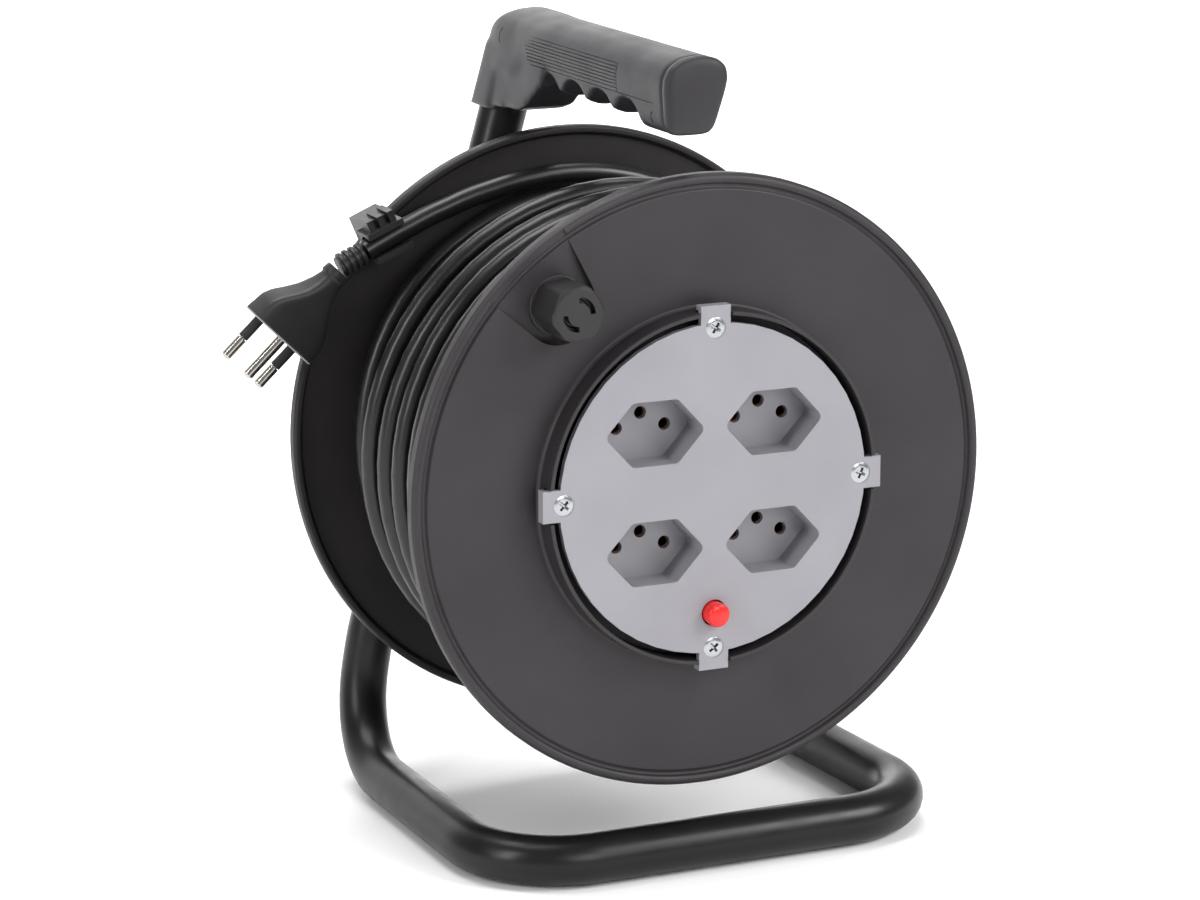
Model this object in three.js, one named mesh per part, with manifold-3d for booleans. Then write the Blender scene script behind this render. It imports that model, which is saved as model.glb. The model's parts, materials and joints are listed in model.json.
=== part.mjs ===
// Extension cord reel: a bent steel tube stand with a grip, and a moulded drum that turns on an axle.
// Units are millimetres. +X points right, +Y away from the socket side, +Z up, and z = 0 is the floor.
// The drum group has its origin on the drum's axis, in the plane of the front flange's face.

import * as THREE from "three";
import { mergeVertices } from "three/addons/utils/BufferGeometryUtils.js";
import Module from "manifold-3d";

const wasm = await Module();
wasm.setup();

// ---------------------------------------------------------------- driving dimensions

const GAP = 0.3; // clearance kept between neighbouring pieces
const AXLE_HEIGHT = 142; // drum axis above the floor

const FLANGE_RADIUS = 112.5;
const FLANGE_SIDES = 56; // facets round a flange
const DRUM_WIDTH = 123.6; // from the front flange's face to the rear flange's back
const PLATE = 3; // wall of a flange
const BEAD = 4; // radial width of a flange's rolled rim
const CORE_RADIUS = 61.5;
const CORE_WALL = 2.5;
const HALVES_MEET = 62; // depth at which the two moulded halves of the drum meet
const PARTITION_DEPTH = 44; // depth of the wall behind the electrical compartment

const COLLAR_RADIUS = 64.6;
const COLLAR_WALL = 1.5;
const COLLAR_RISE = 10;

const PANEL_RADIUS = 60.4;
const PANEL_FACE = -9; // depth of the panel's front face
const PANEL_PLATE = 2.4;
const EAR_WIDTH = 11.6;
const EAR_REACH = 66.8;
const EAR_LIP_BACK = -4.9; // how far the lip outside the collar comes back
const EAR_NOTCH_DEPTH = 5.4; // how deep the collar is notched under an ear
const PANEL_SCREW_RADIUS = 58.7;

const SOCKET_X = 23.4;
const SOCKET_ROWS = [22.6, -21];
const SOCKET_HALF_WIDTH = 19.6;
const SOCKET_CORNER = 2.4; // radius of its rounded corners
const SOCKET_HALF_FLAT = 8.75;
const SOCKET_HALF_HEIGHT = 11.7;
const SOCKET_FLOOR = 4; // depth of a recess's floor
const SOCKET_WALL = 1.6;
const PIN_SPACING = 9.5; // from the earth line to a live or neutral contact
const EARTH_RISE = 5;
const CONTACT_HOLE = 2.4;

const BUTTON_Z = -45.7;
const BUTTON_RADIUS = 4.4;

const KNOB_X = -56.3;
const KNOB_Z = 69.6;
const KNOB_FLATS = 18.6;
const KNOB_FACE = -17;
const POCKET_DEPTH = 3; // depth of the pocket's sloping floor under the knob
const POCKET_RADIUS = 14;
const POCKET_REACH = 18; // from the knob's axis out to where the floor meets the flange's face

const TUBE_RADIUS = 9.2;
const LEG_DEPTH = 145; // the plane that both legs stand in
const BAR_DEPTH = -6; // the bar across the front
const BASE_BEND = 36;
const RUNNER_X = 81.3; // left runner's distance from the middle
const RIGHT_CORNER_X = 95; // the front bar runs on to this corner
const RIGHT_REAR_X = 88; // and the right runner ends at this one
const LEG_LEAN = 0.284; // sideways run of a leg for each unit of its height
const LEG_X = -48.76; // left leg's place at the height of the axle
const GRIP_Z = 141.5; // grip's middle above the drum's axis
const POST_TOP = 147; // where the tube ends inside the grip
const GRIP_FRONT = -10;
const BASE_Z = TUBE_RADIUS - AXLE_HEIGHT;
const LEG_BACK = LEG_DEPTH + TUBE_RADIUS;
const BOLT_HEAD = 3.6;
const REEL_MIDDLE = (KNOB_FACE + LEG_BACK + GAP + BOLT_HEAD) / 2; // middle of the reel's depth

const AXLE_RADIUS = 6;
const HUB_RADIUS = 14;
const BUSH_RADIUS = 10;
const BRACKET_FRONT = 132.6;
const BRACKET_THICKNESS = 2.8;

const CABLE_RADIUS = 4.1;
const WINDING_INNER = 62.2;
const WINDING_OUTER = 90;

const quarter = Math.PI / 2;

// ---------------------------------------------------------------- solids

function solid(geometry) {
  const plain = geometry.clone();
  plain.deleteAttribute("normal");
  plain.deleteAttribute("uv");
  const merged = mergeVertices(plain, 1e-3);
  const build = (triVerts) =>
    new wasm.Manifold(
      new wasm.Mesh({
        numProp: 3,
        vertProperties: merged.attributes.position.array,
        triVerts,
      }),
    );
  const corners = merged.index.array;
  const faces = new Uint32Array(
    corners.filter((v, i) => {
      const [a, b, c] = corners.slice(i - (i % 3), i - (i % 3) + 3);
      return a !== b && b !== c && c !== a;
    }),
  );
  const made = build(faces);
  return made.volume() > 0 ? made : build(faces.map((v, i, all) => all[i - (i % 3) + 2 - (i % 3)]));
}

function join(...pieces) {
  return pieces.reduce((whole, piece) => whole.add(piece));
}

function cut(body, ...tools) {
  return tools.reduce((rest, tool) => rest.subtract(tool), body);
}

// A lathed ring or disc about the Y axis. Its profile is a list of [radius, y].
function lathe(profile, segments = 64) {
  const points = profile.map(([radius, y]) => new THREE.Vector2(radius, y));
  const onAxis = profile[0][0] === 0 && profile.at(-1)[0] === 0;
  if (!onAxis) points.push(points[0].clone());
  return solid(new THREE.LatheGeometry(points, segments));
}

// A straight cylinder along Y between two depths.
function rod(radius, front, back, x = 0, z = 0, sides = 20) {
  const geometry = new THREE.CylinderGeometry(radius, radius, back - front, sides);
  geometry.translate(x, (front + back) / 2, z);
  return solid(geometry);
}

function cone(frontRadius, backRadius, front, back, x = 0, z = 0, sides = 20) {
  const geometry = new THREE.CylinderGeometry(backRadius, frontRadius, back - front, sides);
  geometry.translate(x, (front + back) / 2, z);
  return solid(geometry);
}

function box(x0, x1, y0, y1, z0, z1) {
  const geometry = new THREE.BoxGeometry(x1 - x0, y1 - y0, z1 - z0);
  geometry.translate((x0 + x1) / 2, (y0 + y1) / 2, (z0 + z1) / 2);
  return solid(geometry);
}

// A shape drawn in X and Z, given its thickness along Y.
function slab(shape, front, back, curveSegments = 8) {
  const geometry = new THREE.ExtrudeGeometry(shape, {
    depth: back - front,
    bevelEnabled: false,
    curveSegments,
  });
  geometry.rotateX(Math.PI / 2);
  geometry.translate(0, back, 0);
  return solid(geometry);
}

function polygon(points) {
  return new THREE.Shape(points.map(([x, z]) => new THREE.Vector2(x, z)));
}

// The same outline with its corners rounded off.
function roundedPolygon(points, radius, steps = 3) {
  const corners = points.map(([x, z]) => new THREE.Vector2(x, z));
  const rounded = corners.flatMap((corner, i) => {
    const before = corners.at(i - 1).clone().sub(corner).normalize();
    const after = corners[(i + 1) % corners.length].clone().sub(corner).normalize();
    const halfAngle = Math.acos(before.dot(after)) / 2;
    const middle = before.clone().add(after).normalize();
    const centre = corner.clone().addScaledVector(middle, radius / Math.sin(halfAngle));
    const start = corner.clone().addScaledVector(before, radius / Math.tan(halfAngle)).sub(centre);
    const turn = (Math.PI - 2 * halfAngle) * Math.sign(before.cross(after)) * -1;
    return [...Array(steps + 1).keys()].map((k) =>
      start.clone().rotateAround(new THREE.Vector2(), (turn * k) / steps).add(centre),
    );
  });
  return new THREE.Shape(rounded);
}

function hexagon(flats, x = 0, z = 0, turn = 0) {
  const corner = (i) => turn + (i * Math.PI) / 3;
  const reach = flats / Math.sqrt(3);
  const corners = [...Array(6).keys()].map((i) => [
    x + reach * Math.cos(corner(i)),
    z + reach * Math.sin(corner(i)),
  ]);
  return polygon(corners);
}

function turnedAboutY(body, angle) {
  const matrix = new THREE.Matrix4().makeRotationY(-angle);
  return body.transform(matrix.elements);
}

// ---------------------------------------------------------------- bent tubes

// A route of straight runs joined by arcs. Its stations sit only where the tube bends, so that a
// straight run costs one step.
class BentRoute extends THREE.Curve {
  constructor(stations) {
    super();
    this.stations = stations;
  }
  getPoint(t, target = new THREE.Vector3()) {
    const last = this.stations.length - 1;
    const along = Math.min(Math.max(t, 0), 1) * last;
    const i = Math.min(Math.floor(along), last - 1);
    return target.copy(this.stations[i]).lerp(this.stations[i + 1], along - i);
  }
  getUtoTmapping(u) {
    return u;
  }
  getTangent(t, target = new THREE.Vector3()) {
    const last = this.stations.length - 1;
    const i = Math.round(t * last);
    const before = Math.max(i - 1, 0);
    const after = Math.min(i + 1, last);
    const back = this.stations[i].clone().sub(this.stations[before]).normalize();
    const ahead = this.stations[after].clone().sub(this.stations[i]).normalize();
    return target.copy(back).add(ahead).normalize();
  }
}

// Turns corner points [x, y, z, bend radius] into stations along straights and arcs.
function bentRoute(corners, stepsPerBend = 6) {
  const at = ([x, y, z]) => new THREE.Vector3(x, y, z);
  const stations = [at(corners[0])];
  for (let i = 1; i < corners.length - 1; i++) {
    const corner = at(corners[i]);
    const back = at(corners[i - 1]).sub(corner).normalize();
    const ahead = at(corners[i + 1]).sub(corner).normalize();
    const half = back.angleTo(ahead) / 2;
    const radius = corners[i][3];
    const inward = back.clone().add(ahead).normalize();
    const centre = corner.clone().addScaledVector(inward, radius / Math.sin(half));
    const start = corner.clone().addScaledVector(back, radius / Math.tan(half)).sub(centre);
    const axis = new THREE.Vector3().crossVectors(ahead, back).normalize();
    const sweep = Math.PI - 2 * half;
    for (let k = 0; k <= stepsPerBend; k++) {
      const arm = start.clone().applyAxisAngle(axis, (sweep * k) / stepsPerBend);
      stations.push(centre.clone().add(arm));
    }
  }
  stations.push(at(corners.at(-1)));
  return new BentRoute(stations);
}

// A tube of regular section along a route, with flats facing the route's first normal.
function tube(route, radius, sides = 16) {
  const half = Math.PI / sides;
  const section = polygon(
    [...Array(sides).keys()].map((i) => [
      radius / Math.cos(half) * Math.cos((2 * i + 1) * half),
      radius / Math.cos(half) * Math.sin((2 * i + 1) * half),
    ]),
  );
  return solid(
    new THREE.ExtrudeGeometry(section, {
      steps: route.stations.length - 1,
      extrudePath: route,
      bevelEnabled: false,
    }),
  );
}

// ---------------------------------------------------------------- materials and nodes

const blackPlastic = [0x2a292b, 0.62, 0];
const blackRubber = [0x222225, 0.7, 0];
const blackPaint = [0x141416, 0.3, 0.4];
const steel = [0xb9bcc0, 0.35, 1];
const greyPlastic = [0xa3a6aa, 0.5, 0];
const redPlastic = [0xe8323a, 0.4, 0];
const brass = [0xc9a24a, 0.35, 1];
const pvc = [0x151517, 0.35, 0];
const whiteNylon = [0xd8d6cf, 0.6, 0];

const reel = new THREE.Group();
const stand = new THREE.Group();
const drum = new THREE.Group();
for (const group of [stand, drum]) {
  group.position.set(0, -REEL_MIDDLE, AXLE_HEIGHT);
  reel.add(group);
}

function add(group, name, body, [color, roughness, metalness]) {
  const made = body.getMesh();
  const geometry = new THREE.BufferGeometry();
  geometry.setAttribute("position", new THREE.BufferAttribute(made.vertProperties, 3));
  geometry.setIndex(new THREE.BufferAttribute(made.triVerts, 1));
  geometry.computeVertexNormals();
  const material = new THREE.MeshStandardMaterial({ color, roughness, metalness });
  const mesh = new THREE.Mesh(geometry, material);
  mesh.name = name;
  group.add(mesh);
}

// ---------------------------------------------------------------- stand: tube frame

const legX = (z) => LEG_X + LEG_LEAN * z;
const BOLT_RISE = 9; // a bracket bolt's height above or below the axle
const BOLT_RADIUS = 3;
const boltPlaces = [-1, 1].flatMap((side) =>
  [-BOLT_RISE, BOLT_RISE].map((z) => [side * -legX(z), z]),
);

function frameTube(radius) {
  const overlap = 3;
  const kneeZ = -85; // the legs straighten up a little below this height
  const gentle = 100;
  const left = bentRoute([
    [overlap, BAR_DEPTH, BASE_Z],
    [-RUNNER_X, BAR_DEPTH, BASE_Z, BASE_BEND],
    [-RUNNER_X, LEG_DEPTH, BASE_Z, BASE_BEND],
    [legX(kneeZ), LEG_DEPTH, kneeZ, gentle],
    [legX(POST_TOP), LEG_DEPTH, POST_TOP],
  ]);
  const right = bentRoute([
    [-overlap, BAR_DEPTH, BASE_Z],
    [RIGHT_CORNER_X, BAR_DEPTH, BASE_Z, BASE_BEND],
    [RIGHT_REAR_X, LEG_DEPTH, BASE_Z, BASE_BEND],
    [-legX(kneeZ), LEG_DEPTH, kneeZ, gentle],
    [-legX(60), LEG_DEPTH, 60, 45],
    [legX(90), LEG_DEPTH, 90],
  ]);
  return join(tube(left, radius), tube(right, radius));
}

function frame() {
  const holes = boltPlaces.map(([x, z]) =>
    rod(BOLT_RADIUS + GAP, LEG_DEPTH - 15, LEG_DEPTH + 15, x, z, 12),
  );
  return cut(frameTube(TUBE_RADIUS), ...holes, crossPin(PIN_RADIUS_GRIP + GAP, 40));
}

// ---------------------------------------------------------------- stand: grip and its end cap

const FINGERS = 4;
const FINGER_PITCH = 23.2;
const FIRST_FINGER = 25.5;
const FINGER_RADIUS = 13;
const FINGER_DEPTH = 6;
const GRIP_TOP = 155;
const GRIP_BOTTOM = 128.5;
const FINGER_BOTTOM = 130.5; // the grip's underside where the fingers go
const GRIP_BACK = LEG_DEPTH + 11;
const SLEEVE_BOTTOM = 118;
const SLEEVE_RADIUS = 11;
const CAP_DEPTH = 5;
const PIN_RADIUS_GRIP = 2.5;
const PIN_HEIGHT = 134; // the cross pin that holds the grip on the post

// The grip's cross-section: wide and domed on top, narrower below, leaning with the legs.
function gripSection(inset = 0) {
  const lean = 0.13;
  const outline = [
    [-6.5, GRIP_BOTTOM],
    [6.5, GRIP_BOTTOM],
    [9, GRIP_BOTTOM + 2.5],
    [12, GRIP_TOP - 9],
    [10.6, GRIP_TOP - 4],
    [6.5, GRIP_TOP - 1],
    [0, GRIP_TOP],
    [-6.5, GRIP_TOP - 1],
    [-10.6, GRIP_TOP - 4],
    [-12, GRIP_TOP - 9],
    [-9, GRIP_BOTTOM + 2.5],
  ];
  const shrink = 1 - inset / 12;
  const middle = (GRIP_TOP + GRIP_BOTTOM) / 2;
  return polygon(
    outline.map(([x, z]) => {
      const rise = shrink * (z - middle);
      return [legX(middle) + shrink * x + lean * rise, middle + rise];
    }),
  );
}

// A shape drawn in Y and Z, given its thickness along X.
function sideSlab(shape, x0, x1) {
  const geometry = new THREE.ExtrudeGeometry(shape, {
    depth: x1 - x0,
    bevelEnabled: false,
    curveSegments: 8,
  });
  geometry.applyMatrix4(
    new THREE.Matrix4().makeBasis(
      new THREE.Vector3(0, 1, 0),
      new THREE.Vector3(0, 0, 1),
      new THREE.Vector3(1, 0, 0),
    ),
  );
  geometry.translate(x0, 0, 0);
  return solid(geometry);
}

function gripSide() {
  const round = 17;
  const shape = new THREE.Shape();
  shape.moveTo(GRIP_FRONT + CAP_DEPTH, GRIP_BOTTOM - 1);
  shape.lineTo(GRIP_BACK, GRIP_BOTTOM - 1);
  shape.absarc(GRIP_BACK - round, GRIP_TOP - round, round, 0, quarter, false);
  shape.lineTo(GRIP_FRONT + CAP_DEPTH, GRIP_TOP + 1);
  return shape;
}

// The grip seen from above: its back end is round, like the sleeve below it.
function gripPlan() {
  const halfWidth = 12.2;
  const shape = new THREE.Shape();
  const x = legX(GRIP_Z);
  shape.moveTo(x + halfWidth + 3, GRIP_FRONT);
  shape.lineTo(x + halfWidth + 3, LEG_DEPTH - 8);
  shape.absarc(x, LEG_DEPTH - 1, halfWidth, 0, Math.PI, false);
  shape.lineTo(x - halfWidth - 3, LEG_DEPTH - 8);
  shape.lineTo(x - halfWidth - 3, GRIP_FRONT);
  const geometry = new THREE.ExtrudeGeometry(shape, {
    depth: 60,
    bevelEnabled: false,
    curveSegments: 10,
  });
  geometry.translate(0, 0, GRIP_BOTTOM - 20);
  return solid(geometry);
}

// The web under the grip, where it meets the sleeve round the post.
function gripWeb() {
  const side = new THREE.Shape();
  side.moveTo(LEG_DEPTH, GRIP_BOTTOM - 7);
  side.lineTo(LEG_DEPTH, GRIP_BOTTOM + 6);
  side.lineTo(92, GRIP_BOTTOM + 6);
  side.lineTo(92, GRIP_BOTTOM + 0.5);
  side.lineTo(106, GRIP_BOTTOM - 7);
  const x = legX(GRIP_BOTTOM);
  return sideSlab(side, x - 6, x + 6);
}

function fingerGroove(y) {
  const geometry = new THREE.CylinderGeometry(FINGER_RADIUS, FINGER_RADIUS, 60, 24);
  geometry.rotateZ(quarter);
  geometry.translate(legX(GRIP_Z), y, FINGER_BOTTOM + FINGER_DEPTH - FINGER_RADIUS);
  return solid(geometry);
}

// The post's own line, from one height to another.
function postRoute(bottom, top) {
  return bentRoute([
    [legX(bottom), LEG_DEPTH, bottom],
    [legX(top), LEG_DEPTH, top],
  ]);
}

function crossPin(radius, length) {
  const geometry = new THREE.CylinderGeometry(radius, radius, length, 16);
  geometry.rotateZ(quarter);
  geometry.translate(legX(PIN_HEIGHT), LEG_DEPTH, PIN_HEIGHT);
  return solid(geometry);
}

function grip() {
  const bar = slab(gripSection(), GRIP_FRONT + CAP_DEPTH, GRIP_BACK)
    .intersect(sideSlab(gripSide(), -60, 60))
    .intersect(gripPlan());
  const underside = box(-60, 60, 15, LEG_DEPTH, GRIP_BOTTOM - 5, FINGER_BOTTOM);
  const sleeve = tube(postRoute(SLEEVE_BOTTOM, GRIP_Z), SLEEVE_RADIUS, 20);
  const bore = tube(postRoute(SLEEVE_BOTTOM - 10, POST_TOP + GAP), TUBE_RADIUS + GAP, 16);
  const grooves = [...Array(FINGERS).keys()].map((i) =>
    fingerGroove(FIRST_FINGER + i * FINGER_PITCH),
  );
  const solidGrip = join(cut(bar, underside), sleeve, gripWeb());
  return cut(solidGrip, bore, crossPin(PIN_RADIUS_GRIP + GAP, 40), ...grooves);
}

function gripCap() {
  const face = slab(gripSection(), GRIP_FRONT, GRIP_FRONT + CAP_DEPTH - 0.8);
  const edge = slab(gripSection(1.2), GRIP_FRONT - 1, GRIP_FRONT + 1);
  return join(face, edge);
}

// ---------------------------------------------------------------- stand: bracket, axle, fasteners

function bracket() {
  const halfHeight = 17;
  const end = 11;
  const plate = polygon([
    [LEG_X - LEG_LEAN * halfHeight - end, -halfHeight],
    [-LEG_X + LEG_LEAN * halfHeight + end, -halfHeight],
    [-LEG_X - LEG_LEAN * halfHeight + end, halfHeight],
    [LEG_X + LEG_LEAN * halfHeight - end, halfHeight],
  ]);
  const back = BRACKET_FRONT + BRACKET_THICKNESS;
  const holes = boltPlaces.map(([x, z]) => rod(BOLT_RADIUS + GAP, BRACKET_FRONT - 1, back + 1, x, z, 12));
  const axleHole = rod(AXLE_RADIUS + GAP, BRACKET_FRONT - 1, back + 1, 0, 0, 24);
  return cut(slab(plate, BRACKET_FRONT, back), axleHole, ...holes);
}

const NUT_HEIGHT = 4;

function boltHeadAndShank(x, z) {
  const head = slab(hexagon(10, x, z), LEG_BACK + GAP, LEG_BACK + GAP + BOLT_HEAD);
  const shank = rod(BOLT_RADIUS, BRACKET_FRONT - NUT_HEIGHT - 1, LEG_BACK + 1, x, z, 12);
  return join(head, shank);
}

function nut(flats, bore, front, back, x = 0, z = 0) {
  return cut(slab(hexagon(flats, x, z), front, back), rod(bore, front - 1, back + 1, x, z, 20));
}

function washer(outer, inner, front, back) {
  return lathe(
    [
      [inner, front],
      [outer, front],
      [outer, back],
      [inner, back],
    ],
    20,
  );
}

const AXLE_HEAD_FRONT = 54.5;
const AXLE_HEAD_BACK = 58;
const HUB_FRONT = HALVES_MEET + 0.3;
const HUB_BACK = 126.4;
const BUSH_FLANGE = 1.4;

function axle() {
  return join(
    rod(11, AXLE_HEAD_FRONT, AXLE_HEAD_BACK, 0, 0, 32),
    rod(AXLE_RADIUS, AXLE_HEAD_BACK - 1, 149, 0, 0, 24),
  );
}

function bush(flangeFront, flangeBack, bodyBack) {
  const inner = AXLE_RADIUS + 0.25;
  const bodyFront = Math.min(flangeFront, bodyBack);
  const bodyEnd = Math.max(flangeBack, bodyBack);
  return cut(
    join(
      rod(HUB_RADIUS - 1, flangeFront, flangeBack, 0, 0, 32),
      rod(BUSH_RADIUS, bodyFront, bodyEnd, 0, 0, 32),
    ),
    rod(inner, bodyFront - 1, bodyEnd + 1, 0, 0, 24),
  );
}

add(stand, "frame_tube", frame(), blackPaint);
add(stand, "handle_grip", grip(), blackRubber);
add(stand, "grip_end_cap", gripCap(), blackRubber);
add(stand, "grip_pin", crossPin(PIN_RADIUS_GRIP, 20), steel);
add(stand, "axle_bracket", bracket(), blackPaint);
boltPlaces.forEach(([x, z], i) => {
  const nutBack = BRACKET_FRONT - GAP;
  add(stand, `bracket_bolt_${i + 1}`, boltHeadAndShank(x, z), steel);
  add(stand, `bracket_nut_${i + 1}`, nut(10, BOLT_RADIUS + GAP, nutBack - NUT_HEIGHT, nutBack, x, z), steel);
});
add(stand, "axle", axle(), steel);

const AXLE_WASHER = 11.5; // radius of the washers on the axle
const AXLE_NUT = 18; // its nuts across the flats
const AXLE_BORE = AXLE_RADIUS + GAP;
const headWasherFront = AXLE_HEAD_BACK + GAP;
const jamNutBack = BRACKET_FRONT - GAP;
const spacerBack = jamNutBack - 2.4 - GAP;
const rearWasherFront = BRACKET_FRONT + BRACKET_THICKNESS + GAP;
const rearNutFront = rearWasherFront + 1.4 + GAP;
add(stand, "axle_head_washer", washer(AXLE_WASHER, AXLE_BORE, headWasherFront, headWasherFront + 1.4), steel);
add(stand, "axle_spacer_washer", washer(AXLE_WASHER, AXLE_BORE, spacerBack - 1.2, spacerBack), steel);
add(stand, "axle_jam_nut", nut(AXLE_NUT, AXLE_BORE, jamNutBack - 2.4, jamNutBack), steel);
add(stand, "axle_rear_washer", washer(AXLE_WASHER, AXLE_BORE, rearWasherFront, rearWasherFront + 1.4), steel);
add(stand, "axle_rear_nut", nut(AXLE_NUT, AXLE_BORE, rearNutFront, rearNutFront + 7), steel);

// ---------------------------------------------------------------- drum: front half

// The pocket that the knob stands in: round at its inner end, widening to the rim, with a floor
// that slopes up until it meets the flange's face.
function pocket(grow, front) {
  const flare = 0.19; // half angle between the pocket's sides
  const radius = POCKET_RADIUS + grow;
  const outer = POCKET_REACH + 8;
  const halfWidth = (radius + outer * Math.sin(flare)) / Math.cos(flare);
  const shape = new THREE.Shape();
  shape.absarc(0, 0, radius, quarter + flare, 3 * quarter - flare, false);
  shape.lineTo(outer, -halfWidth);
  shape.lineTo(outer, halfWidth);
  const below = new THREE.BoxGeometry(200, 60, 200);
  below.translate(0, -30, 0);
  below.rotateZ(-Math.atan(POCKET_DEPTH / POCKET_REACH));
  below.translate(0, POCKET_DEPTH + grow, 0);
  const outward = Math.atan2(KNOB_Z, KNOB_X);
  const hollow = turnedAboutY(slab(shape, front, 20, 10).intersect(solid(below)), outward);
  const insideRim = rod(FLANGE_RADIUS - BEAD - 1.7 + grow / 2, -10, 20, 0, 0, 56);
  return hollow.translate([KNOB_X, 0, KNOB_Z]).intersect(insideRim);
}

// A flange's face, rim groove and rolled bead, as a profile counted in from its outer face.
function flangeProfile(face, inward) {
  const y = (depth) => face + inward * depth;
  const rim = FLANGE_RADIUS - BEAD;
  return [
    [rim - 1.4, y(0)],
    [rim - 0.8, y(0.9)],
    [rim, y(0.9)],
    [rim + 0.5, y(-0.4)],
    [rim + 1.6, y(-1)],
    [FLANGE_RADIUS - 1, y(-0.6)],
    [FLANGE_RADIUS, y(0.8)],
    [FLANGE_RADIUS, y(4.4)],
    [FLANGE_RADIUS - 0.8, y(5.6)],
    [rim + 1.4, y(5.6)],
    [rim + 0.2, y(PLATE)],
  ];
}

const CORE_INNER = CORE_RADIUS - CORE_WALL;
const COLLAR_INNER = COLLAR_RADIUS - COLLAR_WALL;
const LEDGE_INNER = CORE_INNER - 2;
const LEDGE_FACE = 0.6;
const PARTITION_BACK = PARTITION_DEPTH + 3;
const JOIN_RADIUS = 40; // circle of the screws that join the drum's halves
const LEAD_DEPTH = 33; // depth at which the cable passes through the core
const SCREW_SHANK = 1.5;

const around = (radius, count, first) =>
  [...Array(count).keys()].map((i) => {
    const angle = first + (i * 2 * Math.PI) / count;
    return [radius * Math.cos(angle), radius * Math.sin(angle)];
  });
const panelScrews = around(PANEL_SCREW_RADIUS, 4, 0);
const joinScrews = around(JOIN_RADIUS, 4, quarter / 2);

function frontHalf() {
  const body = lathe(
    [
      [0, PARTITION_DEPTH],
      [CORE_INNER, PARTITION_DEPTH],
      [CORE_INNER, PLATE],
      [LEDGE_INNER, PLATE],
      [LEDGE_INNER, LEDGE_FACE],
      [COLLAR_INNER, LEDGE_FACE],
      [COLLAR_INNER, -COLLAR_RISE],
      [COLLAR_RADIUS, -COLLAR_RISE],
      [COLLAR_RADIUS, -0.9],
      [COLLAR_RADIUS + 0.9, 0],
      ...flangeProfile(0, 1),
      [CORE_RADIUS, PLATE],
      [CORE_RADIUS, HALVES_MEET - GAP],
      [CORE_INNER, HALVES_MEET - GAP],
      [CORE_INNER, PARTITION_BACK],
      [0, PARTITION_BACK],
    ],
    FLANGE_SIDES,
  );
  const bossFront = PANEL_FACE + PANEL_PLATE + GAP;
  const bosses = panelScrews.map(([x, z]) => rod(3.6, bossFront, PLATE, x, z, 16));
  const bossHoles = panelScrews.map(([x, z]) => rod(SCREW_SHANK + GAP, bossFront - 1, 2.4, x, z, 10));
  const screwHoles = joinScrews.map(([x, z]) => rod(2.2, PARTITION_DEPTH - 1, PARTITION_BACK + 1, x, z, 12));
  const notches = panelScrews.map(([x, z]) => {
    const half = EAR_WIDTH / 2 + GAP + 0.2;
    const notch = box(COLLAR_INNER - 3, COLLAR_RADIUS + 3, -20, EAR_NOTCH_DEPTH - COLLAR_RISE, -half, half);
    return turnedAboutY(notch, Math.atan2(z, x));
  });
  const leadHole = new THREE.CylinderGeometry(CABLE_RADIUS + 0.5, CABLE_RADIUS + 0.5, 10, 16);
  leadHole.rotateX(quarter);
  leadHole.translate(0, LEAD_DEPTH, CORE_RADIUS - 1);
  const pedestal = rod(10.8, KNOB_FOOT, POCKET_DEPTH + 2.5, KNOB_X, KNOB_Z, 24);
  const shell = cut(join(body, ...bosses, pocket(2.4, 0.5)), pocket(0, -5));
  return cut(join(shell, pedestal), ...notches, ...bossHoles, ...screwHoles, solid(leadHole));
}

const KNOB_FOOT = 1.2; // depth of the pedestal's face, which the knob turns on

// ---------------------------------------------------------------- drum: rear half

const RIBS = 6;

function rearHalf() {
  const webBack = HUB_FRONT + 2.8;
  const core = lathe(
    [
      [BUSH_RADIUS + 0.25, HUB_FRONT],
      [CORE_RADIUS, HUB_FRONT],
      [CORE_RADIUS, DRUM_WIDTH - PLATE],
      ...flangeProfile(DRUM_WIDTH, -1).reverse(),
      [CORE_INNER, DRUM_WIDTH],
      [CORE_INNER, webBack],
      [HUB_RADIUS, webBack],
      [HUB_RADIUS, HUB_BACK],
      [BUSH_RADIUS + 0.25, HUB_BACK],
    ],
    FLANGE_SIDES,
  );
  const rib = box(HUB_RADIUS - 1, CORE_INNER + 1, webBack - 1, DRUM_WIDTH - 3, -1.2, 1.2);
  const ribs = [...Array(RIBS).keys()].map((i) => turnedAboutY(rib, quarter + (i * 2 * Math.PI) / RIBS));
  const bossFront = PARTITION_BACK + GAP;
  const bosses = joinScrews.map(([x, z]) => rod(4.5, bossFront, webBack, x, z, 16));
  const holes = joinScrews.map(([x, z]) => rod(SCREW_SHANK + GAP, bossFront - 1, webBack - 1, x, z, 10));
  return cut(join(core, ...ribs, ...bosses), ...holes);
}

// ---------------------------------------------------------------- drum: socket panel

const sockets = SOCKET_ROWS.flatMap((z) => [-SOCKET_X, SOCKET_X].map((x) => [x, z]));

function recessOutline(x, z, grow) {
  const wide = SOCKET_HALF_WIDTH + grow * 1.25;
  const flat = SOCKET_HALF_FLAT + grow * 0.5;
  const high = SOCKET_HALF_HEIGHT + grow;
  const corners = [
    [x - wide, z],
    [x - flat, z - high],
    [x + flat, z - high],
    [x + wide, z],
    [x + flat, z + high],
    [x - flat, z + high],
  ];
  return roundedPolygon(corners, SOCKET_CORNER + grow);
}

function contactPlaces([x, z]) {
  return [
    [x - PIN_SPACING, z],
    [x, z + EARTH_RISE],
    [x + PIN_SPACING, z],
  ];
}

const CARRIER_FRONT = 22.5;
const carrierPosts = [
  [-50, 0],
  [50, 0],
  [0, 47],
];

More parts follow.
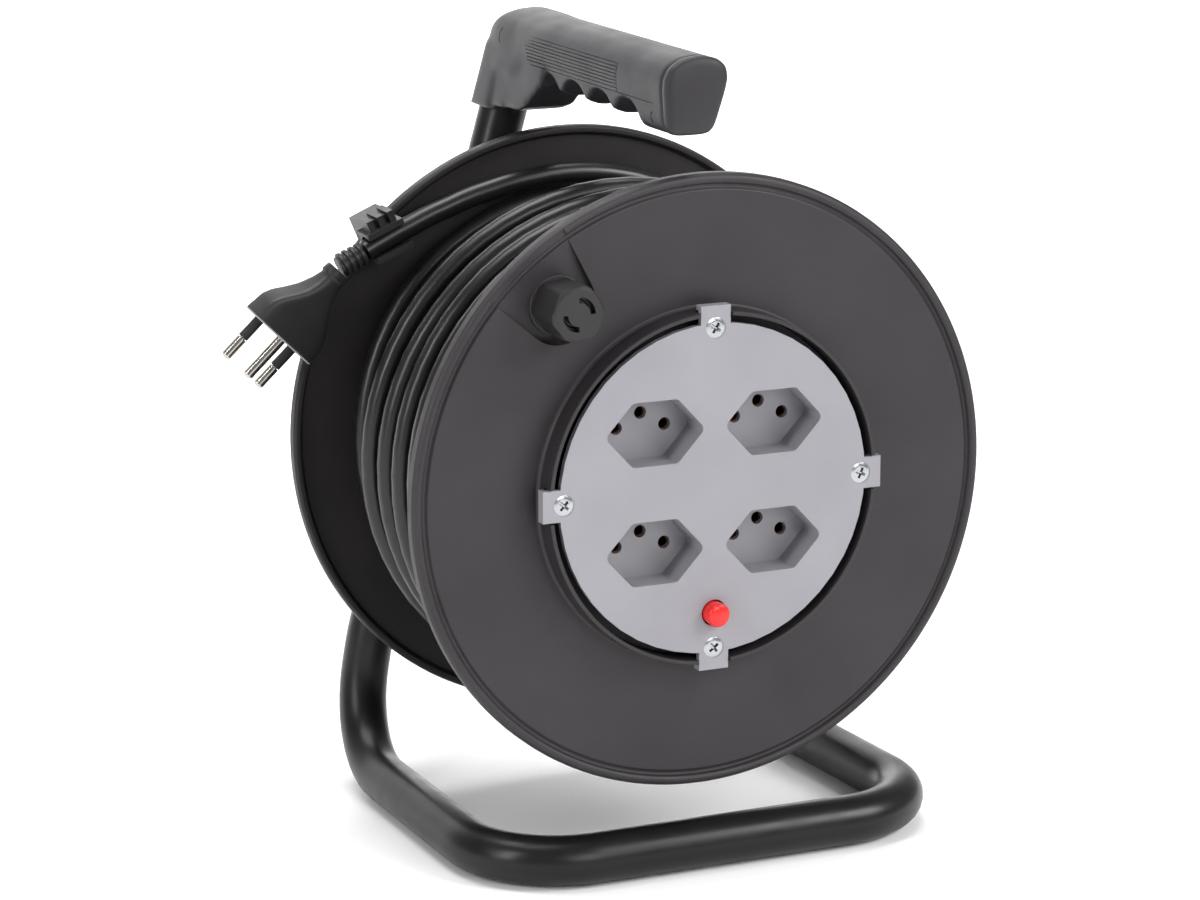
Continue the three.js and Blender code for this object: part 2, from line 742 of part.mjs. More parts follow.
function panel() {
  const plateBack = PANEL_FACE + PANEL_PLATE;
  const plate = rod(PANEL_RADIUS, PANEL_FACE, plateBack, 0, 0, 48);
  const ears = panelScrews.map(([x, z]) => {
    const half = EAR_WIDTH / 2;
    const tongue = box(PANEL_RADIUS - 4, EAR_REACH, PANEL_FACE, plateBack, -half, half);
    const lip = box(COLLAR_RADIUS + GAP + 0.2, EAR_REACH, PANEL_FACE, EAR_LIP_BACK, -half, half);
    return turnedAboutY(join(tongue, lip), Math.atan2(z, x));
  });
  const wells = sockets.map(([x, z]) =>
    slab(recessOutline(x, z, SOCKET_WALL), PANEL_FACE + 1, SOCKET_FLOOR + 2),
  );
  const recesses = sockets.map(([x, z]) => slab(recessOutline(x, z, 0), PANEL_FACE - 1, SOCKET_FLOOR));
  const pinHoles = sockets
    .flatMap(contactPlaces)
    .map(([x, z]) => rod(CONTACT_HOLE, SOCKET_FLOOR - 1, SOCKET_FLOOR + 3, x, z, 12));
  const posts = carrierPosts.map(([x, z]) => rod(3.2, PANEL_FACE + 1, CARRIER_FRONT - GAP, x, z, 12));
  const postHoles = carrierPosts.map(([x, z]) => rod(1.5, 12, CARRIER_FRONT, x, z, 10));
  const sinks = panelScrews.flatMap(([x, z]) => [
    rod(SCREW_SHANK + GAP, PANEL_FACE - 1, plateBack + 1, x, z, 12),
    cone(4.3, 1.9, PANEL_FACE - 0.2, PANEL_FACE + 2.2, x, z, 20),
  ]);
  const buttonHole = rod(BUTTON_RADIUS + 0.5, PANEL_FACE - 1, plateBack + 1, 0, BUTTON_Z, 24);
  const body = cut(join(plate, ...ears, ...wells, ...posts), ...recesses);
  return cut(body, ...pinHoles, ...postHoles, ...sinks, buttonHole);
}

// A screw along +Y with a cross recess: its head starts at a depth, and its shank ends at another.
function crossScrew(x, z, headFront, headBack, headRadius, shankRadius, tip, sunk) {
  const neck = sunk ? shankRadius : headRadius;
  const head = cone(headRadius, neck, headFront, headBack, x, z, 16);
  const shank = rod(shankRadius, headBack - 0.5, tip, x, z, 8);
  const arm = headRadius * 0.55;
  const slot = 0.45;
  const slots = join(
    box(x - arm, x + arm, headFront - 1, headFront + 1, z - slot, z + slot),
    box(x - slot, x + slot, headFront - 1, headFront + 1, z - arm, z + arm),
  );
  return cut(join(head, shank), slots);
}

// A brass rail that joins the same contact of all four sockets.
function rail(contactIndex, level) {
  const places = sockets.map((socket) => contactPlaces(socket)[contactIndex]);
  const tubeFront = SOCKET_FLOOR + 2 + GAP;
  const tubes = places.map(([x, z]) => rod(3.3, tubeFront, level + 0.8, x, z, 12));
  const bores = places.map(([x, z]) => rod(2.15, tubeFront - 1, level + 2, x, z, 12));
  const [[leftX, topZ], [rightX], [, bottomZ]] = places;
  const bars = [leftX, rightX].map((x) => box(x - 2.5, x + 2.5, level, level + 0.8, bottomZ, topZ));
  const bridge = box(leftX, rightX, level, level + 0.8, -1, 4);
  return cut(join(...bars, bridge, ...tubes), ...bores);
}

function carrier() {
  const back = CARRIER_FRONT + 2.5;
  const disc = rod(54, CARRIER_FRONT, back, 0, 0, 40);
  const cutoutGap = box(-10, 10, CARRIER_FRONT - 1, back + 1, -60, -33);
  const wireGap = box(-14, 14, CARRIER_FRONT - 1, back + 1, 14, 30);
  const holes = carrierPosts.map(([x, z]) => rod(1.8, CARRIER_FRONT - 1, back + 1, x, z, 10));
  return cut(disc, cutoutGap, wireGap, ...holes);
}

const BUTTON_TRAVEL = 2.5;
const CUTOUT_FRONT = PANEL_FACE + PANEL_PLATE + GAP;

function cutout() {
  const body = box(-8, 8, CUTOUT_FRONT, 26, BUTTON_Z - 7.5, BUTTON_Z + 10);
  const tabs = [-4.5, 4.5].map((x) => box(x - 1.6, x + 1.6, 25, 31, BUTTON_Z + 3, BUTTON_Z + 4));
  const bore = rod(BUTTON_RADIUS + 0.5, CUTOUT_FRONT - 1, 2, 0, BUTTON_Z, 24);
  return cut(join(body, ...tabs), bore);
}

function button() {
  const front = PANEL_FACE - 5.5;
  return lathe(
    [
      [0, front],
      [BUTTON_RADIUS * 0.55, front + 0.2],
      [BUTTON_RADIUS * 0.88, front + 0.7],
      [BUTTON_RADIUS, front + 1.6],
      [BUTTON_RADIUS, 2 - BUTTON_TRAVEL - 1],
      [0, 2 - BUTTON_TRAVEL - 1],
    ],
    24,
  ).translate([0, 0, BUTTON_Z]);
}

function terminalBlock() {
  const body = box(-16, 16, 27, 39, 32, 44);
  const wells = [-10, 0, 10].map((x) => rod(2.2, 26, 31, x, 38, 12));
  return cut(body, ...wells);
}

function cordClamp() {
  const saddle = box(-12, 12, 38, 41, 47, 53);
  const bridge = box(-12, 12, LEAD_DEPTH + 4.5, 39, 47, 53);
  return join(saddle, bridge);
}

function leadIn() {
  const geometry = new THREE.CylinderGeometry(CABLE_RADIUS, CABLE_RADIUS, CORE_RADIUS - 44.5, 16);
  geometry.rotateX(quarter);
  geometry.translate(0, LEAD_DEPTH, (CORE_RADIUS + 44.5) / 2 + 0.1);
  return solid(geometry);
}

add(drum, "front_flange", frontHalf(), blackPlastic);
add(drum, "rear_flange", rearHalf(), blackPlastic);
add(drum, "front_bush", bush(60, HUB_FRONT - GAP, 84), whiteNylon);
add(drum, "rear_bush", bush(HUB_BACK + GAP, HUB_BACK + GAP + BUSH_FLANGE, 105), whiteNylon);
joinScrews.forEach(([x, z], i) => {
  const screw = crossScrew(x, z, PARTITION_DEPTH - 2.8, PARTITION_DEPTH - GAP, 3.6, SCREW_SHANK, 60, false);
  add(drum, `drum_screw_${i + 1}`, screw, steel);
});
add(drum, "socket_panel", panel(), greyPlastic);
panelScrews.forEach(([x, z], i) => {
  const front = PANEL_FACE + 0.5;
  add(drum, `panel_screw_${i + 1}`, crossScrew(x, z, front, front + 1.9, 3.3, SCREW_SHANK, 2.1, true), steel);
});
["live", "earth", "neutral"].forEach((name, i) => {
  add(drum, `${name}_rail`, rail(i, 10 + 4 * i), brass);
});
add(drum, "contact_carrier", carrier(), blackPlastic);
carrierPosts.forEach(([x, z], i) => {
  const back = CARRIER_FRONT + 2.5 + GAP;
  const screw = crossScrew(x, -z, -back - 1.8, -back, 2.9, 1.2, -13, false);
  add(drum, `carrier_screw_${i + 1}`, screw.rotate([180, 0, 0]), steel);
});
add(drum, "thermal_cutout", cutout(), blackPlastic);
add(drum, "reset_button", button(), redPlastic);
add(drum, "terminal_block", terminalBlock(), whiteNylon);
add(drum, "cord_clamp", cordClamp(), whiteNylon);
add(drum, "cable_lead_in", leadIn(), pvc);

// ---------------------------------------------------------------- drum: winding knob

const SPINDLE_RADIUS = 5;

function knobSpindle() {
  return rod(SPINDLE_RADIUS, KNOB_FACE + 3.2, KNOB_FOOT - GAP, KNOB_X, KNOB_Z, 20);
}

function knob() {
  const back = KNOB_FOOT - GAP - 0.2;
  const turn = 0.15;
  const prism = slab(hexagon(KNOB_FLATS, 0, 0, turn), KNOB_FACE, back);
  const rounding = lathe(
    [
      [0, KNOB_FACE],
      [8.7, KNOB_FACE],
      [9.9, KNOB_FACE + 1],
      [10.3, KNOB_FACE + 3],
      [10.3, back],
      [0, back],
    ],
    36,
  );
  const bore = rod(SPINDLE_RADIUS + GAP, KNOB_FACE + 2.8, back + 1, 0, 0, 20);
  const slots = [0, Math.PI].map((first) => {
    const shape = new THREE.Shape();
    shape.absarc(0, 0, 6.2, first, first + quarter, false);
    shape.absarc(0, 0, 4.2, first + quarter, first, true);
    return slab(shape, KNOB_FACE - 1, KNOB_FACE + 3.2, 8);
  });
  return cut(prism.intersect(rounding), bore, ...slots).translate([KNOB_X, 0, KNOB_Z]);
}

add(drum, "knob_spindle", knobSpindle(), blackPlastic);
add(drum, "winding_knob", knob(), blackPlastic);

// ---------------------------------------------------------------- drum: cable, clip and plug

const WINDING_FRONT = 8.6;
const WINDING_BACK = DRUM_WIDTH - PLATE - GAP;
const TAIL_DEPTH = 111; // the plane in which the cable's free end and the plug lie
const CLIP_HEADING = THREE.MathUtils.degToRad(203);
const RELIEF_HEADING = THREE.MathUtils.degToRad(208);

function winding() {
  return lathe(
    [
      [WINDING_INNER, WINDING_FRONT],
      [WINDING_OUTER - 1.5, WINDING_FRONT],
      [WINDING_OUTER, WINDING_FRONT + 1.5],
      [WINDING_OUTER, WINDING_BACK - 1.5],
      [WINDING_OUTER - 1.5, WINDING_BACK],
      [WINDING_INNER, WINDING_BACK],
    ],
    40,
  );
}

// The cable's free end: it lifts off the last turn, passes through the clip and meets the plug's
// strain relief. Each row is the angle round the axis in degrees and the distance from the axis.
const TAIL_POINTS = [
  [58, WINDING_OUTER + CABLE_RADIUS + 0.5],
  [69, 94.7],
  [79, 95.1],
  [90, 95.8],
  [101, 96.6],
  [111.5, 98.4],
  [121.8, 101.4],
  [130, 105.2],
  [136.2, 109.2],
  [139.9, 112.1],
];
const polar = ([degrees, radius], y = TAIL_DEPTH) => {
  const angle = THREE.MathUtils.degToRad(degrees);
  return new THREE.Vector3(radius * Math.cos(angle), y, radius * Math.sin(angle));
};
const RELIEF_START = polar(TAIL_POINTS.at(-1));
const CLIP_PLACE = polar([135.5, 108.8]);

function tail() {
  const curve = new THREE.CatmullRomCurve3(TAIL_POINTS.map((point) => polar(point)));
  const sides = 10;
  const section = polygon(
    [...Array(sides).keys()].map((i) => [
      CABLE_RADIUS * Math.cos((2 * Math.PI * i) / sides),
      CABLE_RADIUS * Math.sin((2 * Math.PI * i) / sides),
    ]),
  );
  return solid(
    new THREE.ExtrudeGeometry(section, { steps: 16, extrudePath: curve, bevelEnabled: false }),
  );
}

// The clip hooks over the rear flange's rim and holds the cable in a groove open to the front.
function clip() {
  const rimFront = DRUM_WIDTH - 5.6;
  const hookFront = DRUM_WIDTH + 1.4;
  const hookBack = hookFront + 1.8;
  const bar = box(-7.5, 7.5, TAIL_DEPTH - 5.4, rimFront - 0.6, -6, 6);
  const arm = box(-5.6, 6, TAIL_DEPTH - 1, hookBack, 3, 9);
  const hook = box(-5.6, 6, hookFront, hookBack, -2, 9);
  const ridges = [-4.4, 0, 4.4].map((t) => box(t - 1.2, t + 1.2, TAIL_DEPTH - 4, rimFront, 5, 10.2));
  const groove = new THREE.CylinderGeometry(CABLE_RADIUS + 0.5, CABLE_RADIUS + 0.5, 40, 16);
  groove.rotateZ(quarter);
  groove.translate(0, TAIL_DEPTH, 0);
  const mouth = box(-20, 20, TAIL_DEPTH - 10, TAIL_DEPTH, -3.7, 3.7);
  const local = cut(join(bar, arm, hook, ...ridges), solid(groove), mouth);
  const placed = turnedAboutY(local, CLIP_HEADING - Math.PI).translate([CLIP_PLACE.x, 0, CLIP_PLACE.z]);
  const rim = rod(FLANGE_RADIUS + 0.4, rimFront - 0.4, hookFront - 0.1, 0, 0, FLANGE_SIDES);
  return cut(placed, rim);
}

// Places a piece made along its own +X so that +X follows a heading from a point.
function headed(body, heading, from, distance) {
  const placed = turnedAboutY(body, heading);
  return placed.translate([
    from.x + distance * Math.cos(heading),
    from.y,
    from.z + distance * Math.sin(heading),
  ]);
}

const RELIEF_LENGTH = 10.3;
const PLUG_LENGTH = 33;
const PLUG_START = new THREE.Vector3(-97.6, TAIL_DEPTH - 3, 66.4);
const PLUG_AIM = new THREE.Vector3(-0.7, 0.1, -0.707).normalize(); // the way the pins point
const PLUG_ACROSS = new THREE.Vector3(0.72, 0.19, -0.67); // from the live pin to the neutral pin

// Places a piece made along +X, with the pins side by side along Z, where the plug hangs.
function onPlug(body) {
  const depth = PLUG_ACROSS.clone().cross(PLUG_AIM).normalize();
  const across = PLUG_AIM.clone().cross(depth);
  const matrix = new THREE.Matrix4().makeBasis(PLUG_AIM, depth, across).setPosition(PLUG_START);
  return body.transform(matrix.elements);
}

const PLUG_HALF_WIDTH = 16;
const PLUG_HALF_DEPTH = 6.8;
const PIN_LENGTH = 19;
const SLEEVE_LENGTH = 9;
const PIN_RADIUS = 2;

// A lathed piece about its own X axis.
function latheX(profile, segments) {
  return lathe(profile, segments).rotate([0, 0, -90]);
}

function strainRelief() {
  const rings = 4;
  const pitch = RELIEF_LENGTH / rings;
  const profile = [[0, 0]];
  for (let i = 0; i < rings; i++) {
    const wide = 4.6 + 0.2 * i;
    const start = i * pitch;
    profile.push([wide - 0.4, start], [wide, start + 0.4], [wide, start + pitch * 0.6]);
    profile.push([wide - 0.9, start + pitch * 0.6 + 0.2], [wide - 0.9, start + pitch - 0.1]);
  }
  profile.push([4.4, RELIEF_LENGTH], [0, RELIEF_LENGTH]);
  return headed(latheX(profile, 16), RELIEF_HEADING, RELIEF_START, 1.2);
}

// The plug's body in plan: a collar, a waist that sweeps out, and straight sides to the face.
function plugBody() {
  const plan = new THREE.Shape();
  const side = [
    [0, 4.8],
    [3.2, 5],
    [3.9, 4.2],
    [8, 4.9],
    [13, 6.8],
    [17.5, 10],
    [21.5, 13.4],
    [25, 15.2],
    [PLUG_LENGTH, PLUG_HALF_WIDTH],
  ];
  side.forEach(([x, w], i) => (i ? plan.lineTo(x, w) : plan.moveTo(x, w)));
  side.reverse().forEach(([x, w]) => plan.lineTo(x, -w));
  const thickness = polygon([
    [-1, 4.6],
    [PLUG_LENGTH * 0.45, 5.6],
    [PLUG_LENGTH + 1, PLUG_HALF_DEPTH],
    [PLUG_LENGTH + 1, -PLUG_HALF_DEPTH],
    [PLUG_LENGTH * 0.45, -5.6],
    [-1, -4.6],
  ]);
  const elevation = slab(thickness, -30, 30).rotate([90, 0, 0]);
  const body = slab(plan, -12, 12).intersect(elevation);
  const edgeCut = [-1, 1].flatMap((s) =>
    [-1, 1].map((t) => {
      const chamfer = box(10, 50, -10, 10, -10, 10).rotate([45, 0, 0]);
      return chamfer.translate([0, s * (PLUG_HALF_DEPTH + 9.4), t * (PLUG_HALF_WIDTH + 1.2)]);
    }),
  );
  const pinHoles = pinPlaces.map(([w, d]) => plugRod(2.4, PLUG_LENGTH - 6, PLUG_LENGTH + 1, w, d));
  return onPlug(cut(body, ...edgeCut, ...pinHoles));
}

const PIN_SET_BACK = 2; // the live and neutral pins stand this far behind the plug's middle
const pinPlaces = [
  [-PIN_SPACING, PIN_SET_BACK],
  [0, PIN_SET_BACK - EARTH_RISE],
  [PIN_SPACING, PIN_SET_BACK],
];

function plugRod(radius, start, end, width, depth, sides = 12) {
  return rod(radius, start, end, 0, 0, sides).rotate([0, 0, -90]).translate([0, depth, width]);
}

function sleevedPin(width) {
  const root = PLUG_LENGTH - 5;
  const sleeveEnd = PLUG_LENGTH + SLEEVE_LENGTH;
  const shaft = plugRod(1.2, root, sleeveEnd + 1, width, PIN_SET_BACK);
  return onPlug(join(shaft, pinTip(sleeveEnd + GAP, width, PIN_SET_BACK)));
}

function pinTip(start, width, depth) {
  const end = PLUG_LENGTH + PIN_LENGTH;
  const tip = latheX(
    [
      [0, start],
      [PIN_RADIUS, start],
      [PIN_RADIUS, end - 1.2],
      [PIN_RADIUS * 0.7, end - 0.35],
      [0, end],
    ],
    12,
  );
  return tip.translate([0, depth, width]);
}

function pinSleeve(width) {
  const root = PLUG_LENGTH - 5;
  const outer = plugRod(PIN_RADIUS, root, PLUG_LENGTH + SLEEVE_LENGTH, width, PIN_SET_BACK);
  const inner = plugRod(1.5, root - 1, PLUG_LENGTH + SLEEVE_LENGTH + 1, width, PIN_SET_BACK);
  return onPlug(cut(outer, inner));
}

add(drum, "cable_winding", winding(), pvc);
add(drum, "cable_tail", tail(), pvc);
add(drum, "rim_clip", clip(), blackPlastic);
add(drum, "strain_relief", strainRelief(), blackRubber);
add(drum, "plug_body", plugBody(), blackRubber);
add(drum, "plug_pin_live", sleevedPin(-PIN_SPACING), steel);
add(drum, "plug_pin_neutral", sleevedPin(PIN_SPACING), steel);
const earthPin = pinTip(PLUG_LENGTH - 5, 0, PIN_SET_BACK - EARTH_RISE);
add(drum, "plug_pin_earth", onPlug(earthPin), steel);
add(drum, "plug_sleeve_live", pinSleeve(-PIN_SPACING), blackPlastic);
add(drum, "plug_sleeve_neutral", pinSleeve(PIN_SPACING), blackPlastic);

export default reel;
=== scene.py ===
"""A portable extension cord reel: black tube stand, moulded drum, Swiss sockets, wound cable and plug.

Sizes written in plain numbers are millimetres in the drum's own frame: x to the right, y away from the sockets
from the plane of the front flange's face, z up from the axle. row() turns them into the metres of the row.
"""
import json
import math

import bmesh
import bpy
from mathutils import Matrix, Vector, noise


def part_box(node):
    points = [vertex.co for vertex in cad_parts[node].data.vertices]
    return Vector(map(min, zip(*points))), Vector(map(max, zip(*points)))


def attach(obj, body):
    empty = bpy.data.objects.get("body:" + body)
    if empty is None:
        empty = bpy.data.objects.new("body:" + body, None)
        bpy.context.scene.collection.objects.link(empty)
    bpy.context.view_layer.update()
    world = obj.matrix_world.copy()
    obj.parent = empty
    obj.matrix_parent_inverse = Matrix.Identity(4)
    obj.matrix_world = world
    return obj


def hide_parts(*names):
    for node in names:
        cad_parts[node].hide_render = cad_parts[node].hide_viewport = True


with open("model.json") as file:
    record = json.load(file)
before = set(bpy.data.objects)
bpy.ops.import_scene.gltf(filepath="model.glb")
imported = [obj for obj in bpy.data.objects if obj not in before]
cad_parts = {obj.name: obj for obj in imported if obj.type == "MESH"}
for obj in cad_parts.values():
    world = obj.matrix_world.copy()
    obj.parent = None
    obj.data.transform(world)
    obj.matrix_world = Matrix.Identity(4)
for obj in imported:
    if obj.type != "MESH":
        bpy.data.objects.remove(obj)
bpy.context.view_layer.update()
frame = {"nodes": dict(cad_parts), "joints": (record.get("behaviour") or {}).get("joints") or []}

MM = 0.001
AXLE_Z = next(j["pos_m"][2] for j in frame["joints"] if j["name"] == "drum_spin")
KNOB_REACH = 17
FACE_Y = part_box("winding_knob")[0].y + KNOB_REACH * MM
SCENE = bpy.context.scene


def row(x, y, z):
    """A point of the drum's frame, in millimetres, as metres in the row."""
    return Vector((x * MM, FACE_Y + y * MM, AXLE_Z + z * MM))


def polar(degrees, radius, y):
    """The drum-frame point at an angle round the axle, counted from +x towards +z."""
    a = math.radians(degrees)
    return (radius * math.cos(a), y, radius * math.sin(a))


def smooth_step(t):
    """An eased rise from 0 to 1, level outside that range."""
    t = min(1, max(0, t))
    return t * t * (3 - 2 * t)


def mix(a, b, t):
    return a + (b - a) * t


# ---------------------------------------------------------------- camera, solved from the photo's circles

LENS = 119.93
CAMERA_PLACE = (-0.60809, -1.32038, 0.48968)
CAMERA_AIM = (0.40175, 0.88520, -0.23457)

camera = bpy.data.objects.new("camera", bpy.data.cameras.new("camera"))
SCENE.collection.objects.link(camera)
camera.data.lens = LENS
camera.data.sensor_width = 36
camera.data.clip_end = 20
camera.location = CAMERA_PLACE
camera.rotation_euler = Vector(CAMERA_AIM).to_track_quat("-Z", "Y").to_euler()
SCENE.camera = camera


# ---------------------------------------------------------------- materials

NOISE_LOW, NOISE_HIGH = 0.3, 0.7
GLOSS_SPREAD = 0.06


class Shader:
    """A principled material with helpers for noise-driven colour, roughness and relief."""

    def __init__(self, name, color, roughness, metallic=0.0, specular=0.5):
        self.material = bpy.data.materials.new(name)
        self.material.use_nodes = True
        self.tree = self.material.node_tree
        self.principled = self.tree.nodes["Principled BSDF"]
        self.set("Base Color", (*color, 1))
        self.set("Roughness", roughness)
        self.set("Metallic", metallic)
        self.set("Specular IOR Level", specular)
        self.material.diffuse_color = (*color, 1)

    def set(self, socket, value):
        self.principled.inputs[socket].default_value = value

    def node(self, kind):
        return self.tree.nodes.new(kind)

    def link(self, a, b):
        self.tree.links.new(a, b)

    def noise(self, scale, detail):
        """Noise in object coordinates; scale is in cells to the metre."""
        made = self.node("ShaderNodeTexNoise")
        made.inputs["Scale"].default_value = scale
        made.inputs["Detail"].default_value = detail
        made.inputs["Roughness"].default_value = 0.55
        self.link(self.node("ShaderNodeTexCoord").outputs["Object"], made.inputs["Vector"])
        return made.outputs["Fac"]

    def mottle(self, source, low, high, end=NOISE_HIGH):
        """A base colour that drifts between two shades."""
        ramp = self.node("ShaderNodeValToRGB")
        for element, position, color in zip(ramp.color_ramp.elements, (NOISE_LOW, end), (low, high)):
            element.position = position
            element.color = (*color, 1)
        self.link(source, ramp.inputs["Fac"])
        self.link(ramp.outputs["Color"], self.principled.inputs["Base Color"])

    def gloss(self, source, low, high):
        """A roughness that drifts between two values."""
        made = self.node("ShaderNodeMapRange")
        made.inputs["From Min"].default_value = NOISE_LOW
        made.inputs["From Max"].default_value = NOISE_HIGH
        made.inputs["To Min"].default_value = low
        made.inputs["To Max"].default_value = high
        self.link(source, made.inputs["Value"])
        self.link(made.outputs["Result"], self.principled.inputs["Roughness"])

    def bump(self, source, strength, distance):
        made = self.node("ShaderNodeBump")
        made.inputs["Strength"].default_value = strength
        made.inputs["Distance"].default_value = distance
        self.link(source, made.inputs["Height"])
        self.link(made.outputs["Normal"], self.principled.inputs["Normal"])


def shade(color, factor):
    return tuple(factor * c for c in color)


def moulding(name, dark, light, roughness, grain=2600, relief=0.00003, specular=0.35):
    """Moulded plastic: a spark-eroded grain, faint flow mottling, and uneven gloss."""
    made = Shader(name, dark, roughness, specular=specular)
    made.mottle(made.noise(24, 4), dark, light, 0.72)
    made.gloss(made.noise(60, 3), roughness - GLOSS_SPREAD, roughness + GLOSS_SPREAD)
    made.bump(made.noise(grain, 2), 0.35, relief)
    return made.material


def gloss_paint(name, color):
    """Black stove enamel with a faint orange peel."""
    made = Shader(name, color, 0.34, specular=0.3)
    made.mottle(made.noise(30, 3), color, shade(color, 1.5))
    made.gloss(made.noise(90, 3), 0.29, 0.39)
    made.bump(made.noise(420, 1), 0.12, 0.00006)
    return made.material


def sheath(name, color):
    """Smooth PVC with a soft sheen."""
    made = Shader(name, color, 0.33, specular=0.4)
    made.mottle(made.noise(45, 2), color, shade(color, 1.4), 0.75)
    made.gloss(made.noise(70, 2), 0.30, 0.36)
    made.bump(made.noise(2400, 1), 0.1, 0.000004)
    return made.material


def metal(name, color, roughness, grain=420):
    """Plated metal, its gloss uneven at the size of the grain."""
    made = Shader(name, color, roughness, metallic=1.0)
    made.mottle(made.noise(160, 4), shade(color, 0.9), color)
    made.gloss(made.noise(grain, 1), roughness - 0.02, roughness + 0.03)
    return made.material


MATERIALS = {
    "painted_tube": gloss_paint("black_paint", (0.0045, 0.0045, 0.005)),
    "soft_grip": moulding("grip_plastic", (0.0195, 0.0180, 0.0212), (0.0265, 0.0245, 0.0285), 0.46, 3400, 0.00005,
                          specular=0.3),
    "black_moulding": moulding("flange_plastic", (0.0187, 0.0160, 0.0181), (0.0255, 0.0225, 0.0252), 0.5, 3000,
                               0.00004),
    "inner_moulding": moulding("inner_plastic", (0.012, 0.012, 0.013), (0.02, 0.02, 0.021), 0.55),
    "grey_panel": moulding("panel_plastic", (0.238, 0.233, 0.253), (0.268, 0.263, 0.285), 0.42, 3200, 0.00002),
    "red_button": moulding("button_plastic", (0.70, 0.020, 0.018), (0.80, 0.028, 0.025), 0.2, 900, 0.00001),
    "natural_nylon": moulding("nylon", (0.62, 0.60, 0.54), (0.70, 0.68, 0.62), 0.45),
    "plated_steel": metal("zinc_plate", (0.42, 0.43, 0.45), 0.24),
    # The contacts' metal: a reddish copper hue, darkened as painted shade for the socket holes it sits in.
    "contact_brass": metal("brass", (0.30, 0.13, 0.08), 0.34),
    "cable_sheath": sheath("cable_pvc", (0.006, 0.006, 0.0066)),
    "plug_rubber": moulding("plug_plastic", (0.011, 0.011, 0.012), (0.018, 0.018, 0.019), 0.45, 2600, 0.00004),
    "pin_nickel": metal("nickel_plate", (0.50, 0.47, 0.44), 0.2, 120),
}
FACE_EDGE = moulding("plug_face_edge", (0.16, 0.16, 0.165), (0.26, 0.26, 0.265), 0.3)
KNOB_PLASTIC = moulding("knob_plastic", (0.014, 0.013, 0.014), (0.021, 0.020, 0.021), 0.44, 3200, 0.00004)
# The rear flange's moulding: the flange plastic again, made darker and less glossy as painted shade.
REAR_PLASTIC_PAINTED_SHADE = moulding("rear_plastic", (0.0165, 0.0145, 0.0155), (0.0235, 0.0210, 0.0225), 0.46, 3000,
                        0.00003, specular=0.2)


# ---------------------------------------------------------------- making pieces

def place(name, mesh, slot, body, material=None, *nodes):
    """Links a mesh as a piece with its finish, riding on a body and standing for CAD nodes."""
    made = bpy.data.objects.new(name, mesh)
    SCENE.collection.objects.link(made)
    if len(mesh.materials) < 2:
        mesh.materials.clear()
        mesh.materials.append(material or MATERIALS[slot])
    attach(made, body)
    if nodes:
        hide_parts(*nodes)
    return made


BEVEL_FROM = 32
EASED_SHARP = 40
MERGE = 2e-6


def smoothed(mesh, sharp):
    """The mesh shaded smooth, except at edges sharper than the angle in degrees."""
    mesh.polygons.foreach_set("use_smooth", [True] * len(mesh.polygons))
    mesh.set_sharp_from_angle(angle=math.radians(sharp))
    return mesh


def mesh_of(bm, name, sharp=38):
    """The bmesh as a smooth-shaded mesh with its real corners kept sharp."""
    bmesh.ops.recalc_face_normals(bm, faces=bm.faces)
    mesh = bpy.data.meshes.new(name)
    bm.to_mesh(mesh)
    bm.free()
    return smoothed(mesh, sharp)


def applied(obj):
    """The object's mesh with its modifiers worked in."""
    bpy.context.view_layer.update()
    graph = bpy.context.evaluated_depsgraph_get()
    return bpy.data.meshes.new_from_object(obj.evaluated_get(graph))


def eased(mesh, width):
    """The mesh with each hard edge rounded over by a small bevel, its width in millimetres."""
    holder = bpy.data.objects.new("holder", mesh)
    SCENE.collection.objects.link(holder)
    bevel = holder.modifiers.new("bevel", "BEVEL")
    bevel.width = width * MM
    bevel.segments = 2
    bevel.limit_method = "ANGLE"
    bevel.angle_limit = math.radians(BEVEL_FROM)
    bevel.use_clamp_overlap = True
    bevel.miter_outer = "MITER_ARC"
    made = applied(holder)
    bpy.data.objects.remove(holder)
    return smoothed(made, EASED_SHARP)


def weighted(obj):
    """The piece with its flat faces kept flat-looking between the eased edges."""
    modifier = obj.modifiers.new("weighted", "WEIGHTED_NORMAL")
    modifier.keep_sharp = True
    modifier.weight = 80
    return obj


def dressed(node, body, slot, width, material):
    """A CAD node's own shape with its edges eased and its finish put on."""
    bm = bmesh.new()
    bm.from_mesh(frame["nodes"][node].data)
    bmesh.ops.remove_doubles(bm, verts=bm.verts, dist=MERGE)
    bmesh.ops.dissolve_limit(bm, angle_limit=math.radians(0.6), verts=bm.verts, edges=bm.edges)
    return weighted(place(node + "_piece", eased(mesh_of(bm, node), width), slot, body, material, node))


def lathe(profile, steps):
    """A solid turned about the drum's axle from [radius, y] pairs."""
    bm = bmesh.new()
    rings = []
    for radius, y in profile:
        if radius < 1e-6:
            rings.append([bm.verts.new(row(0, y, 0))])
            continue
        rings.append([bm.verts.new(row(*polar(360 * i / steps, radius, y))) for i in range(steps)])
    for a, b in zip(rings, rings[1:] + rings[:1]):
        for i in range(steps):
            j = (i + 1) % steps
            corners = [a[i % len(a)], a[j % len(a)], b[j % len(b)], b[i % len(b)]]
            unique = list(dict.fromkeys(corners))
            if len(unique) > 2:
                bm.faces.new(unique)
    bmesh.ops.recalc_face_normals(bm, faces=bm.faces)
    return bm


BEND_STEPS = 14


